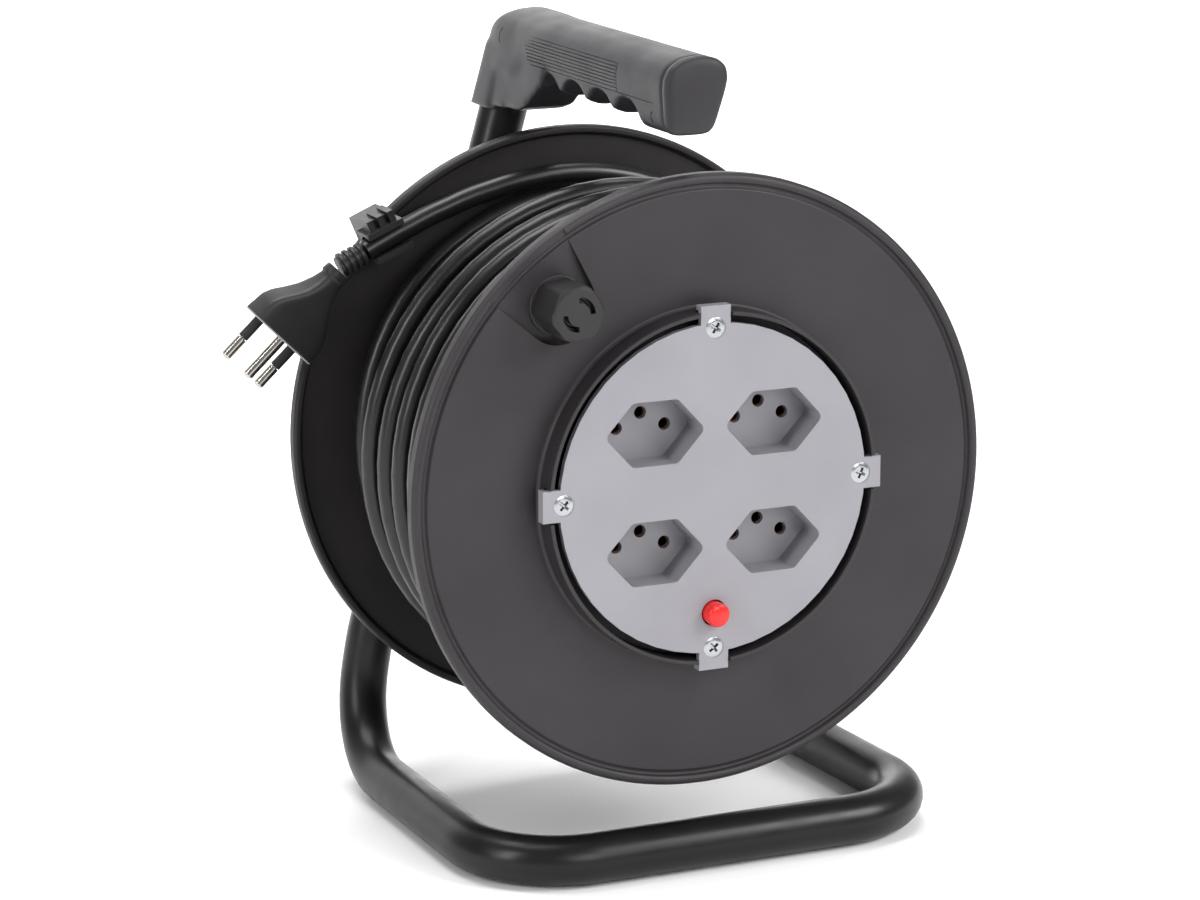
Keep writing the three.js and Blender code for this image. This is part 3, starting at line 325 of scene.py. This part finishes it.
def fillet(points):
    """A route through [x, y, z, bend radius] corners, with each corner turned into an arc."""
    corners = [(Vector(p[:3]), p[3] if len(p) > 3 else 0) for p in points]
    line = [corners[0][0]]
    for (before, _), (here, bend), (after, _) in zip(corners, corners[1:], corners[2:]):
        into = (here - before).normalized()
        out = (after - here).normalized()
        turn = into.angle(out)
        if bend <= 0 or turn < 1e-3:
            line.append(here)
            continue
        cut = bend * math.tan(turn / 2)
        start = here - into * cut
        centre = start + (out - into * into.dot(out)).normalized() * bend
        axis = into.cross(out).normalized()
        for i in range(BEND_STEPS + 1):
            line.append(centre + Matrix.Rotation(turn * i / BEND_STEPS, 3, axis) @ (start - centre))
    line.append(corners[-1][0])
    return line


def tube(name, points, radius, slot, body, sides):
    """A round tube or cord along points in metres, as one curve with its own caps."""
    curve = bpy.data.curves.new(name, "CURVE")
    curve.dimensions = "3D"
    curve.bevel_depth = radius * MM
    curve.bevel_resolution = sides
    curve.use_fill_caps = True
    spline = curve.splines.new("POLY")
    spline.points.add(len(points) - 1)
    for point, at in zip(spline.points, points):
        point.co = (*at, 1)
    spline.use_smooth = True
    made = bpy.data.objects.new(name, curve)
    SCENE.collection.objects.link(made)
    curve.materials.append(MATERIALS[slot])
    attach(made, body)
    return made


# ---------------------------------------------------------------- the cable

CABLE = 8.2
SLOT = (90.0, 64.5, 33)
LAYERS = (66.4, 73.7, 80.7)
LOOSE_RADIUS = 87.4
FRONT_TURN = 12.8
REAR_TURN = 116.2
TURNS = 12.6
CLIMB = 0.3
LOOSE_TURNS = 6.8
LOOSE_FRONT = 14.5
LAST_TURN_Y = 86
TAIL_BLEND = 110
STEP = 6.0
TAIL = ((58, 94.6), (69, 94.7), (79, 95.1), (90, 95.8), (101, 96.6), (111.5, 98.4), (121.8, 101.4), (130, 105.2),
        (136.2, 109.2), (139.9, 112.1))
TAIL_Y = 111


def wander(angle, seed, reach):
    """A slow drift of the cable, the same for every run of the script."""
    return reach * 1.8 * noise.noise(Vector((angle / 150, seed, 0.4)))


def packed_layers(angle):
    """The first turn from the core's slot, then the layers that fill the core from side to side."""
    track = []
    lead = round(360 / STEP)
    for i in range(lead):
        t = i / lead
        track.append((angle, mix(SLOT[1], LAYERS[0], smooth_step(4 * t)), mix(SLOT[2], FRONT_TURN, smooth_step(t))))
        angle += STEP
    for layer, radius in enumerate(LAYERS):
        count = int(TURNS * 360 / STEP)
        begin, end = (FRONT_TURN, REAR_TURN) if layer % 2 == 0 else (REAR_TURN, FRONT_TURN)
        above = LAYERS[layer + 1] if layer + 1 < len(LAYERS) else LOOSE_RADIUS
        for i in range(count):
            t = i / count
            rise = (above - radius) * smooth_step((t - 1 + CLIMB / TURNS) * TURNS / CLIMB)
            fade = smooth_step(8 * t) * smooth_step(8 * (1 - t))
            track.append((angle, radius + rise, mix(begin, end, t) + fade * wander(angle, layer * 7.3, 0.7)))
            angle += STEP
    return track, angle


def loose_pass(angle, turns, begin, end, seed, reach):
    """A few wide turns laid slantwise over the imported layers."""
    count = round(turns * 360 / STEP)
    track = []
    for i in range(count):
        t = i / count
        fade = smooth_step(9 * t) * smooth_step(9 * (1 - t))
        sway = 2.2 * math.sin(math.radians(angle + 40 * seed))
        y = mix(begin, end, t) + fade * (sway + wander(angle, seed, reach))
        track.append((angle, LOOSE_RADIUS + 0.7 * wander(angle, seed + 3, 1), min(REAR_TURN, max(12.4, y))))
        angle += 360 * turns / count
    return track, angle


def lifted(track, under):
    """The turns raised where they cross the ones below, as a stiff cable would be."""
    needed = []
    for angle, radius, y in track:
        lift = 0.0
        for k in range(-16, 17):
            at = (angle + 360 * k - under[0][0]) / STEP
            i = int(at)
            if 0 <= i < len(under) - 1:
                gap = abs(y - mix(under[i][2], under[i + 1][2], at - i))
                lift = max(lift, math.sqrt(max(0, CABLE ** 2 - gap * gap)) + 0.25)
        needed.append(lift)
    # Each lift starts early and ends late, then its ends are eased.
    spread = [max(needed[max(0, i - 3):i + 4]) for i in range(len(needed))]
    smooth = [sum(spread[max(0, i - 4):i + 5]) / len(spread[max(0, i - 4):i + 5]) for i in range(len(spread))]
    return [(angle, radius + lift, y) for (angle, radius, y), lift in zip(track, smooth)]


def cable_path():
    """The wound cable from the core's slot to the plug's relief, as drum-frame points."""
    packed, angle = packed_layers(SLOT[0])
    lower, angle = loose_pass(angle, LOOSE_TURNS, REAR_TURN, LOOSE_FRONT, 1.7, 3.0)
    turns = ((TAIL[0][0] - angle) % 360) / 360 + 5
    upper, angle = loose_pass(angle, turns, LOOSE_FRONT, LAST_TURN_Y, 5.2, 3.4)
    upper = lifted(upper, lower)
    track = packed + lower
    last = TAIL_BLEND / STEP
    for i, (at, radius, y) in enumerate(upper):
        t = smooth_step((i - (len(upper) - 1 - last)) / last)
        track.append((at, mix(radius, TAIL[0][1], t), mix(y, TAIL_Y, t)))
    points = [polar(*turn) for turn in track]
    for (d0, r0), (d1, r1) in zip(TAIL, TAIL[1:]):
        points += [polar(mix(d0, d1, k / 3), mix(r0, r1, k / 3), TAIL_Y) for k in range(3)]
    points.append(polar(*TAIL[-1], TAIL_Y))
    return points


cable = tube("wound_cable", [row(*p) for p in cable_path()], CABLE / 2, "cable_sheath", "drum", sides=4)
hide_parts("cable_winding", "cable_tail")


# ---------------------------------------------------------------- stand

LEG_AT_AXLE = -48.76
LEG_SLOPE = 0.284
POST_Y = 145
FRONT_BAR_Y = -6
FOOT_Z = -132.8
KNEE_Z = -85
FOOT_BEND = 36
KNEE_BEND = 100
TUBE = 9.2


def leg_x(z):
    """Where the leaning left leg, which is also the grip's post, stands at a height."""
    return LEG_AT_AXLE + LEG_SLOPE * z


LEFT_ROUTE = [[3, FRONT_BAR_Y, FOOT_Z], [-81.3, FRONT_BAR_Y, FOOT_Z, FOOT_BEND], [-81.3, POST_Y, FOOT_Z, FOOT_BEND],
              [leg_x(KNEE_Z), POST_Y, KNEE_Z, KNEE_BEND], [leg_x(147), POST_Y, 147]]
RIGHT_ROUTE = [[-3, FRONT_BAR_Y, FOOT_Z], [95, FRONT_BAR_Y, FOOT_Z, FOOT_BEND], [88, POST_Y, FOOT_Z, FOOT_BEND],
               [-leg_x(KNEE_Z), POST_Y, KNEE_Z, KNEE_BEND], [-leg_x(60), POST_Y, 60, 45], [leg_x(90), POST_Y, 90]]
stand_line = fillet(LEFT_ROUTE)[::-1][:-1] + fillet(RIGHT_ROUTE)[1:]
stand = tube("stand_tube", [row(*p) for p in stand_line], TUBE, "painted_tube", "frame", sides=10)
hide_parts("frame_tube")


# ---------------------------------------------------------------- solids to build with

def soften(profile, reach):
    """The outline with every corner off the axle rounded, as far as its neighbours leave room."""
    points = [Vector(p) for p in profile]
    made = []
    count = len(points)
    for i, here in enumerate(points):
        before, after = points[i - 1], points[(i + 1) % count]
        if abs(here.x) < 1e-6:
            made.append(here)
            continue
        into, out = before - here, after - here
        start = here + into.normalized() * min(reach, into.length * 0.46)
        end = here + out.normalized() * min(reach, out.length * 0.46)
        for t in (0, 1 / 3, 2 / 3, 1):
            made.append(start * (1 - t) ** 2 + here * 2 * t * (1 - t) + end * t * t)
    return made


def joined(*bms):
    """Several closed shells as one bmesh."""
    whole = bmesh.new()
    for bm in bms:
        scratch = bpy.data.meshes.new("scratch")
        bm.to_mesh(scratch)
        whole.from_mesh(scratch)
        bm.free()
        bpy.data.meshes.remove(scratch)
    return whole


def solid_between(near, far):
    """A closed solid from two matching loops of points in metres."""
    bm = bmesh.new()
    a, b = ([bm.verts.new(point) for point in loop] for loop in (near, far))
    bm.faces.new(a)
    bm.faces.new(b[::-1])
    for i in range(len(a)):
        bm.faces.new([a[i - 1], a[i], b[i], b[i - 1]])
    bmesh.ops.recalc_face_normals(bm, faces=bm.faces)
    return bm


def prism(outline, front, back):
    """A solid between two depths, from an outline of [x, z]."""
    return solid_between([row(x, front, z) for x, z in outline], [row(x, back, z) for x, z in outline])


def box_between(x0, x1, y0, y1, z0, z1):
    return prism([(x0, z0), (x1, z0), (x1, z1), (x0, z1)], y0, y1)


def full_turn(count):
    return [2 * math.pi * i / count for i in range(count)]


def circle(radius, x, z, sides):
    return [(x + radius * math.cos(t), z + radius * math.sin(t)) for t in full_turn(sides)]


def turned(bm, degrees):
    """The bmesh turned about the drum's axle."""
    spin = Matrix.Translation(row(0, 0, 0)) @ Matrix.Rotation(math.radians(-degrees), 4, "Y")
    bm.transform(spin @ Matrix.Translation(-row(0, 0, 0)))
    return bm


def carved(bm, cutters, name):
    """The bmesh with the cutters taken away from it, as a mesh."""
    def holder(shape, label):
        mesh = bpy.data.meshes.new(label)
        shape.to_mesh(mesh)
        shape.free()
        made = bpy.data.objects.new(label, mesh)
        SCENE.collection.objects.link(made)
        return made

    body, tool = holder(bm, name), holder(joined(*cutters), "tool")
    boolean = body.modifiers.new("cut", "BOOLEAN")
    boolean.operation = "DIFFERENCE"
    boolean.solver = "EXACT"
    boolean.use_self = True
    boolean.object = tool
    made = applied(body)
    bpy.data.objects.remove(body)
    bpy.data.objects.remove(tool)
    return made


def finished(mesh, width):
    """A carved mesh cleaned up, its hard edges eased."""
    bm = bmesh.new()
    bm.from_mesh(mesh)
    bmesh.ops.remove_doubles(bm, verts=bm.verts, dist=MERGE)
    return eased(mesh_of(bm, mesh.name), width)


# ---------------------------------------------------------------- drum halves

BEAD = ((106.6, 0), (107.5, 0.95), (108.5, 0.95), (109, -0.4), (110.1, -1), (111.5, -0.6), (112.5, 0.8), (112.5, 4.4),
        (111.7, 5.6), (109.9, 5.6), (108.7, 3))
KNOB_X, KNOB_Z = -56.3, 69.6
PANEL_SCREWS = (0, 90, 180, 270)
SCREW_CIRCLE = 58.7


def bead(face, direction):
    """The rolled rim's outline, set on a flange's face."""
    return [(radius, face + direction * depth) for radius, depth in BEAD]


def pocket(grow, front, outer):
    """The wedge sunk into the flange under the knob, opening towards the rim, grown by a wall's thickness."""
    flare, radius = 0.19, 14 + grow
    half = (radius + outer * math.sin(flare)) / math.cos(flare)
    turn = [math.pi / 2 + flare + i * (math.pi - 2 * flare) / 20 for i in range(21)]
    outline = [(radius * math.cos(t), radius * math.sin(t)) for t in turn]
    outline += [(outer, -half), (outer, half)]
    heading = math.atan2(KNOB_Z, KNOB_X)

    def at(u, v, y):
        x = KNOB_X + u * math.cos(heading) - v * math.sin(heading)
        z = KNOB_Z + u * math.sin(heading) + v * math.cos(heading)
        return row(x, y, z)

    return solid_between([at(u, v, front) for u, v in outline],
                         [at(u, v, 3 + grow - 3 * (u / 18)) for u, v in outline])


def front_half():
    """The front flange with its collar, its half of the core, the knob's pocket and the screw bosses."""
    profile = [(0, 44), (59, 44), (59, 3), (57, 3), (57, 0.6), (63.1, 0.6), (63.1, -10), (64.6, -10), (64.6, -0.9),
               (65.5, 0)] + bead(0, 1) + [(61.5, 3), (61.5, 61.7), (59, 61.7), (59, 47), (0, 47)]
    body = lathe(soften(profile, 0.45), 240)
    notches = [turned(box_between(56, 70, -20, -4.4, -6.3, 6.3), degrees) for degrees in PANEL_SCREWS]
    shell = joined(body, pocket(2.4, 0.5, 16))
    mesh = finished(carved(shell, notches + [pocket(0, -5, 40)], "front_half"), 0.25)
    bm = bmesh.new()
    bm.from_mesh(mesh)
    foot = lathe(soften([(0, 1.2), (10.8, 1.2), (10.8, 5), (0, 5)], 0.5), 60)
    bmesh.ops.translate(foot, vec=Vector((KNOB_X * MM, 0, KNOB_Z * MM)), verts=foot.verts)
    bosses = [prism(circle(3.6, *Vector(polar(d, SCREW_CIRCLE, 0)).xz, 24), -6.2, 2) for d in PANEL_SCREWS]
    return mesh_of(joined(bm, foot, *bosses), "front_half")


def rear_half():
    """The rear flange with its half of the core, the hub and six ribs."""
    profile = [(10.25, 62.3), (61.5, 62.3), (61.5, 120.6)] + bead(123.6, -1)[::-1] \
        + [(59, 123.6), (59, 65.1), (14, 65.1), (14, 126.4), (10.25, 126.4)]
    body = lathe(soften(profile, 0.45), 240)
    ribs = [turned(box_between(13, 60, 64, 120.6, -1.2, 1.2), 90 + 60 * i) for i in range(6)]
    return mesh_of(joined(body, *ribs), "rear_half")


weighted(place("front_drum_half", front_half(), "black_moulding", "drum", None, "front_flange"))
# The rear half wears the darker copy of the flange plastic, its extra darkness painted shade.
weighted(place("rear_drum_half", rear_half(), "black_moulding", "drum", REAR_PLASTIC_PAINTED_SHADE, "rear_flange"))


# ---------------------------------------------------------------- handle

GRIP_SECTION = ((-6.5, 128.5), (6.5, 128.5), (9, 131), (12, 146), (10.6, 151), (6.5, 154), (0, 155), (-6.5, 154),
                (-10.6, 151), (-12, 146), (-9, 131))
GRIP_MIDDLE = 141.75
GRIP_LEAN = 0.13
GRIP_HALF = 12.6
GRIP_ROOF = 156.0
GRIP_FRONT = -5.0
GRIP_BACK = 156.0
ROOF_BEND = 20.5
FINGERS = [25.5 + 23.2 * i for i in range(4)]


def grip_outline(inset=0.0, count=112):
    """The grip's section as evenly spaced points, its corners cut round."""
    outline = [Vector((1.02 * x, GRIP_MIDDLE + 1.045 * (z - GRIP_MIDDLE))) for x, z in GRIP_SECTION]
    for _ in range(3):
        cut = []
        for a, b in zip(outline, outline[1:] + outline[:1]):
            cut += [a.lerp(b, 0.19), a.lerp(b, 0.81)]
        outline = cut
    lengths = [(b - a).length for a, b in zip(outline, outline[1:] + outline[:1])]
    points, edge, walked = [], 0, 0.0
    for i in range(count):
        goal = sum(lengths) * i / count
        while walked + lengths[edge] < goal:
            walked += lengths[edge]
            edge += 1
        points.append(outline[edge].lerp(outline[(edge + 1) % len(outline)], (goal - walked) / lengths[edge]))
    middle = Vector((0, GRIP_MIDDLE))
    return [middle + (p - middle) * (1 - inset / (p - middle).length) for p in points]


def grip_floor(x, y):
    """Lowest point of the bar: a crowned underside with four finger grooves across it."""
    crown = max(0, 1 - (x / 10.5) ** 2)
    level = mix(128, 132.6 - 3.4 * crown, smooth_step((y - 13) / 5))
    for middle in FINGERS:
        reach = abs(y - middle)
        if reach < 12.4:
            level = max(level, 124.6 + math.sqrt(153.8 - reach * reach) - 1.4 * crown)
    return level


def grip_roof(y):
    """Highest point of the bar: level, then bent down in a quarter round over the post."""
    start = 136
    if y < start:
        return GRIP_ROOF
    return GRIP_ROOF - ROOF_BEND + math.sqrt(max(0, ROOF_BEND ** 2 - (y - start) ** 2))


def grip_half_width(y):
    """Half the bar's width, drawn in at its rear."""
    start = 126
    return GRIP_HALF if y < start else GRIP_HALF * max(0.001, 1 - ((y - start) / 30.1) ** 5) ** 0.2


def loft(sections):
    """A closed solid through rings of drum-frame points."""
    bm = bmesh.new()
    rings = [[bm.verts.new(row(*p)) for p in section] for section in sections]
    for a, b in zip(rings, rings[1:]):
        for i in range(len(a)):
            bm.faces.new([a[i - 1], a[i], b[i], b[i - 1]])
    bm.faces.new(rings[0][::-1])
    bm.faces.new(rings[-1])
    bmesh.ops.recalc_face_normals(bm, faces=bm.faces)
    return bm


def grip_bar():
    """The bar that the hand holds, its underside widening towards the post."""
    outline = grip_outline()
    sections = []
    count = 200
    for i in range(count + 1):
        y = mix(GRIP_FRONT, GRIP_BACK, i / count)
        high, narrow = grip_roof(y), grip_half_width(y) / GRIP_HALF
        lean = mix(GRIP_LEAN, LEG_SLOPE, smooth_step((y - 100) / 30))
        ring = []
        for x, z in outline:
            z = min(high, max(grip_floor(x, y), z))
            wide = 1 + 0.2 * smooth_step((142 - z) / 12) * smooth_step((y - 102) / 20)
            ring.append((leg_x(GRIP_MIDDLE) + x * narrow * wide + lean * (z - GRIP_MIDDLE), y, z))
        sections.append(ring)
    return loft(sections)


def rounded_box(angle, half_width, half_depth, power):
    """A point on a superellipse; the power runs from 1 for an ellipse down to 0 for a box."""
    c, n = math.cos(angle), math.sin(angle)
    return half_width * math.copysign(abs(c) ** power, c), half_depth * math.copysign(abs(n) ** power, n)


def post_sleeve():
    """The grip's foot, a rounded box round the post."""
    sections = []
    for z in range(118, 143, 2):
        outline = [rounded_box(t, 11.1, 11, 0.38) for t in full_turn(64)]
        sections.append([(leg_x(z) + x, POST_Y + y, z) for x, y in outline])
    return loft(sections)


def grip_web():
    """The gusset between the bar and the sleeve."""
    middle, half, lean = 128, 10.4, 0.25
    side = [(147, 119.0), (113, 120.2), (106, 122.5), (96, 132), (96, 140), (147, 140)]
    return solid_between(*([row(leg_x(middle) + reach + lean * (z - middle), y, z) for y, z in side]
                           for reach in (-half, half)))


def grip_mesh():
    """Bar, sleeve and web grown into one skin, with the joins at the rear smoothed over."""
    mesh = bpy.data.meshes.new("grip")
    bm = joined(grip_bar(), post_sleeve(), grip_web())
    bm.to_mesh(mesh)
    bm.free()
    holder = bpy.data.objects.new("holder", mesh)
    SCENE.collection.objects.link(holder)
    remesh = holder.modifiers.new("remesh", "REMESH")
    remesh.mode = "VOXEL"
    remesh.voxel_size = 0.85 * MM
    smooth = holder.modifiers.new("smooth", "SMOOTH")
    smooth.factor = 0.5
    smooth.iterations = 8
    made = applied(holder)
    holder.modifiers.clear()
    holder.data = made
    group = holder.vertex_groups.new(name="rear")
    rear, rim = 94, AXLE_Z + 119 * MM
    for vertex in made.vertices:
        depth = (vertex.co.y - FACE_Y) / MM
        if depth > rear and vertex.co.z > rim:
            group.add([vertex.index], smooth_step((depth - rear) / 14), "REPLACE")
    blend = holder.modifiers.new("blend", "SMOOTH")
    blend.factor = 0.5
    blend.iterations = 16
    blend.vertex_group = "rear"
    made = applied(holder)
    bpy.data.objects.remove(holder)
    return made


def crescent(x, y, z, radius):
    """A cutter shaped as a thin arc, bulging towards the rear, for the marks on the grip's side."""
    bm = bmesh.new()
    turns = [math.pi * (0.72 * i / 14 - 0.36) for i in range(15)]
    outer = [(y + radius * math.cos(t), z + radius * math.sin(t)) for t in turns]
    inner = [(y + (radius - 0.45) * math.cos(t), z + (radius - 0.45) * math.sin(t)) for t in turns]
    loop = outer + inner[::-1]
    near = [bm.verts.new(row(x - 2, a, b)) for a, b in loop]
    far = [bm.verts.new(row(x + 1.1, a, b)) for a, b in loop]
    count = len(turns)
    for i in range(len(loop)):
        bm.faces.new([near[i - 1], near[i], far[i], far[i - 1]])
    for side in (near, far):
        for i in range(count - 1):
            bm.faces.new([side[i], side[i + 1], side[2 * count - 2 - i], side[2 * count - 1 - i]])
    bmesh.ops.recalc_face_normals(bm, faces=bm.faces)
    return bm


GROOVE_DEPTH = 0.5
FAN_END = 32.5
LONG_GROOVE = 138.2


def grip_lines():
    """Cutters for the near side: a fan of eight fine grooves with an end stop, a longer one below, two marks."""
    outline = grip_outline()

    def side(z, lean):
        half = max(-p.x for p in outline if abs(p.y - z) < 0.8)
        return leg_x(GRIP_MIDDLE) + lean * (z - GRIP_MIDDLE) - half

    lines = []
    starts = [(148.4 - 1.25 * i, 117 - 0.8 * i, FAN_END) for i in range(8)] + [(LONG_GROOVE, 108, 3)]
    for z, rear, front in starts:
        x = side(z, GRIP_LEAN)
        lines.append(box_between(x - 2, x + GROOVE_DEPTH, front, rear, z - 0.15, z + 0.15))
        if z > LONG_GROOVE:
            lines.append(box_between(x - 2, x + GROOVE_DEPTH, FAN_END - 0.2, FAN_END + 0.2, z - 1.3, z + 0.2))
    for y, z, radius, lean in ((2.5, 133.2, 2.3, GRIP_LEAN), (137, 145.5, 3.2, LEG_SLOPE)):
        lines.append(crescent(side(z, lean), y, z, radius))
    return lines


def grooved_grip():
    """The grip with its lines cut in."""
    bm = bmesh.new()
    bm.from_mesh(grip_mesh())
    cut = carved(bm, grip_lines(), "grip")
    bm = bmesh.new()
    bm.from_mesh(cut)
    return mesh_of(bm, "grip", 50)


def end_cap():
    """The cap on the grip's front, as rings of [inset, y] that close its rounded face."""
    rings = ((0.2, -5.7), (0, -6.2), (0, -8.4), (0.5, -9.3), (1.4, -9.8), (3.2, -10.15), (6.5, -10.45), (9.5, -10.55))
    sections = []
    for inset, y in rings:
        sections.append([(leg_x(GRIP_MIDDLE) + x + GRIP_LEAN * (z - GRIP_MIDDLE), y, z)
                         for x, z in grip_outline(inset)])
    return mesh_of(loft(sections), "end_cap", 50)


place("handle_grip_shell", grooved_grip(), "soft_grip", "frame", None, "handle_grip")
place("grip_end_cover", end_cap(), "soft_grip", "frame", None, "grip_end_cap")


# ---------------------------------------------------------------- panel screws

def screw(angle):
    """A countersunk cross-head screw, its head just under the ear's face."""
    x, _, z = polar(angle, SCREW_CIRCLE, 0)
    outline = [(0, -9.1), (2.6, -9.0), (3.9, -8.65), (3.9, -8.3), (1.9, -6.9), (1.5, -6.6), (1.5, 1.8), (0, 1.8)]
    head = lathe(soften(outline, 0.25), 48)
    bmesh.ops.translate(head, vec=Vector((x * MM, 0, z * MM)), verts=head.verts)
    cutters = []
    for long, wide in ((2.35, 0.55), (0.55, 2.35)):
        corners = [(-long, -wide), (long, -wide), (long, wide), (-long, wide)]
        arm = solid_between([row(x + u, -9.6, z + v) for u, v in corners],
                            [row(x + 0.55 * u, -7.4, z + 0.55 * v) for u, v in corners])
        spin = Matrix.Translation(row(x, 0, z)) @ Matrix.Rotation(0.4 + 0.7 * angle, 4, "Y")
        arm.transform(spin @ Matrix.Translation(-row(x, 0, z)))
        cutters.append(arm)
    return finished(carved(head, cutters, "screw"), 0.12)


for i, angle in enumerate(PANEL_SCREWS):
    at = row(*polar(angle, SCREW_CIRCLE, 0))
    node = next(n for n in (f"panel_screw_{k}" for k in range(1, 5))
                if (sum(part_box(n), Vector()) / 2 - at).xz.length < 0.004)
    weighted(place(f"ear_screw_{i + 1}", screw(angle), "plated_steel", "drum", None, node))


# ---------------------------------------------------------------- plug

def plug_shape():
    """The flat fish-tail plug: a neck collar, a waist, and a broad face that carries the pins."""
    start = Vector((-97.6, 108, 66.4))
    aim = Vector((-0.7, 0.1, -0.707)).normalized()
    across = Vector((0.72, 0.19, -0.67))
    depth = across.cross(aim).normalized()
    across = aim.cross(depth).normalized()
    widths = ((0, 4.8), (3.2, 5), (3.9, 4.2), (8, 4.9), (13, 6.8), (17.5, 10), (21.5, 13.4), (25, 15.2), (33, 16))
    depths = ((0, 4.6), (3.2, 4.8), (3.9, 4.2), (12, 5.6), (33, 6.8))

    def at(table, s):
        for (a, va), (b, vb) in zip(table, table[1:]):
            if s <= b:
                return mix(va, vb, (s - a) / (b - a))
        return table[-1][1]

    sections = []
    stations = [0, 0.3, 1, 2, 2.9, 3.3, 3.8, 4.4] + [5.5 + i * 1.37 for i in range(20)] + [32.4, 32.85, 33]
    for s in stations:
        w, d = at(widths, s), at(depths, s)
        ease = 0.35 * max(0, 1 - s / 0.3) + 0.5 * max(0, (s - 32.4) / 0.6) ** 2
        blunt = mix(2.2, 6.5, smooth_step(s / 24))
        ring = []
        for t in full_turn(56):
            u, v = rounded_box(t, w - ease, d - ease, 2 / blunt)
            ring.append(tuple(start + aim * s + across * u + depth * v))
        sections.append(ring)
    mesh = mesh_of(loft(sections), "plug", 45)
    mesh.materials.append(MATERIALS["plug_rubber"])
    mesh.materials.append(FACE_EDGE)
    for face in mesh.polygons:
        s = (face.center - row(*start)).dot(aim) / MM
        if 32.3 < s < 32.96:
            face.material_index = 1
    return mesh


pieces = {"plug_body": place("plug_shell", plug_shape(), "plug_rubber", "drum", None, "plug_body")}


# ---------------------------------------------------------------- CAD shapes with eased edges

DRESSED = (
    ("socket_panel", "drum", "grey_panel", 0.35, None),
    ("grip_pin", "frame", "plated_steel", 0.3, None),
    ("winding_knob", "knob", "black_moulding", 0.4, KNOB_PLASTIC),
    ("knob_spindle", "drum", "black_moulding", 0.2, KNOB_PLASTIC),
    ("rim_clip", "drum", "black_moulding", 0.35, KNOB_PLASTIC),
    ("strain_relief", "drum", "plug_rubber", 0.25, None),
    ("reset_button", "button", "red_button", 0.3, None),
    ("axle_bracket", "frame", "painted_tube", 0.4, None),
    ("plug_pin_live", "drum", "pin_nickel", 0.1, None),
    ("plug_pin_neutral", "drum", "pin_nickel", 0.1, None),
    ("plug_pin_earth", "drum", "pin_nickel", 0.1, None),
    ("plug_sleeve_live", "drum", "plug_rubber", 0.1, None),
    ("plug_sleeve_neutral", "drum", "plug_rubber", 0.1, None),
)
for node, body, slot, width, material in DRESSED:
    pieces[node] = dressed(node, body, slot, width, material)

for name, node in frame["nodes"].items():
    label = node.data.materials[0].name
    slot = label if label in MATERIALS else next(s for s in MATERIALS if label.startswith(s))
    for i in range(len(node.data.materials)):
        node.data.materials[i] = MATERIALS[slot]


# ---------------------------------------------------------------- floor, light

def studio_floor():
    """A pale sweep of paper: flat under the reel, turning up behind it."""
    flat, bend, steps = 1.6, 1.2, 24
    line = [(-4, 0), (flat, 0)]
    line += [(flat + bend * math.sin(t), bend - bend * math.cos(t))
             for t in (math.pi / 2 * i / steps for i in range(1, steps + 1))]
    line += [(flat + bend, 4.5)]
    bm = bmesh.new()
    left = [bm.verts.new((-6, y, z - 0.0004)) for y, z in line]
    right = [bm.verts.new((6, y, z - 0.0004)) for y, z in line]
    for i in range(1, len(line)):
        bm.faces.new([left[i - 1], right[i - 1], right[i], left[i]])
    mesh = mesh_of(bm, "floor")
    made = bpy.data.objects.new("floor", mesh)
    SCENE.collection.objects.link(made)
    finish = Shader("floor_paper", (0.95, 0.95, 0.95), 0.8, specular=0.2)
    finish.mottle(finish.noise(3, 2), (0.945, 0.945, 0.945), (0.955, 0.955, 0.955))
    mesh.materials.append(finish.material)


def area(name, location, target, size, power):
    """A soft box aimed at a point."""
    light = bpy.data.lights.new(name, "AREA")
    light.shape = "RECTANGLE"
    light.size, light.size_y = size
    light.energy = power
    made = bpy.data.objects.new(name, light)
    SCENE.collection.objects.link(made)
    made.location = location
    made.rotation_euler = (Vector(target) - Vector(location)).to_track_quat("-Z", "Y").to_euler()


studio_floor()
area("key", (1.5, -1.5, 1.5), (0, 0, 0.12), (1.0, 1.0), 44)
area("front", (0.2, -2.1, 1.0), (0, 0, 0.12), (1.0, 0.8), 16)
area("top", (-0.1, 0.3, 1.9), (0, 0, 0.1), (1.6, 1.0), 36)
area("left_strip", (-1.5, -0.5, 0.75), (0, 0, 0.12), (0.16, 1.0), 11)
area("back", (0.4, 1.5, 1.5), (0, 2.6, 0.7), (2.4, 0.8), 60)

world = bpy.data.worlds.new("studio")
world.use_nodes = True
world.node_tree.nodes["Background"].inputs["Color"].default_value = (1, 1, 1, 1)
world.node_tree.nodes["Background"].inputs["Strength"].default_value = 0.28
SCENE.world = world
SCENE.view_settings.view_transform = "Standard"
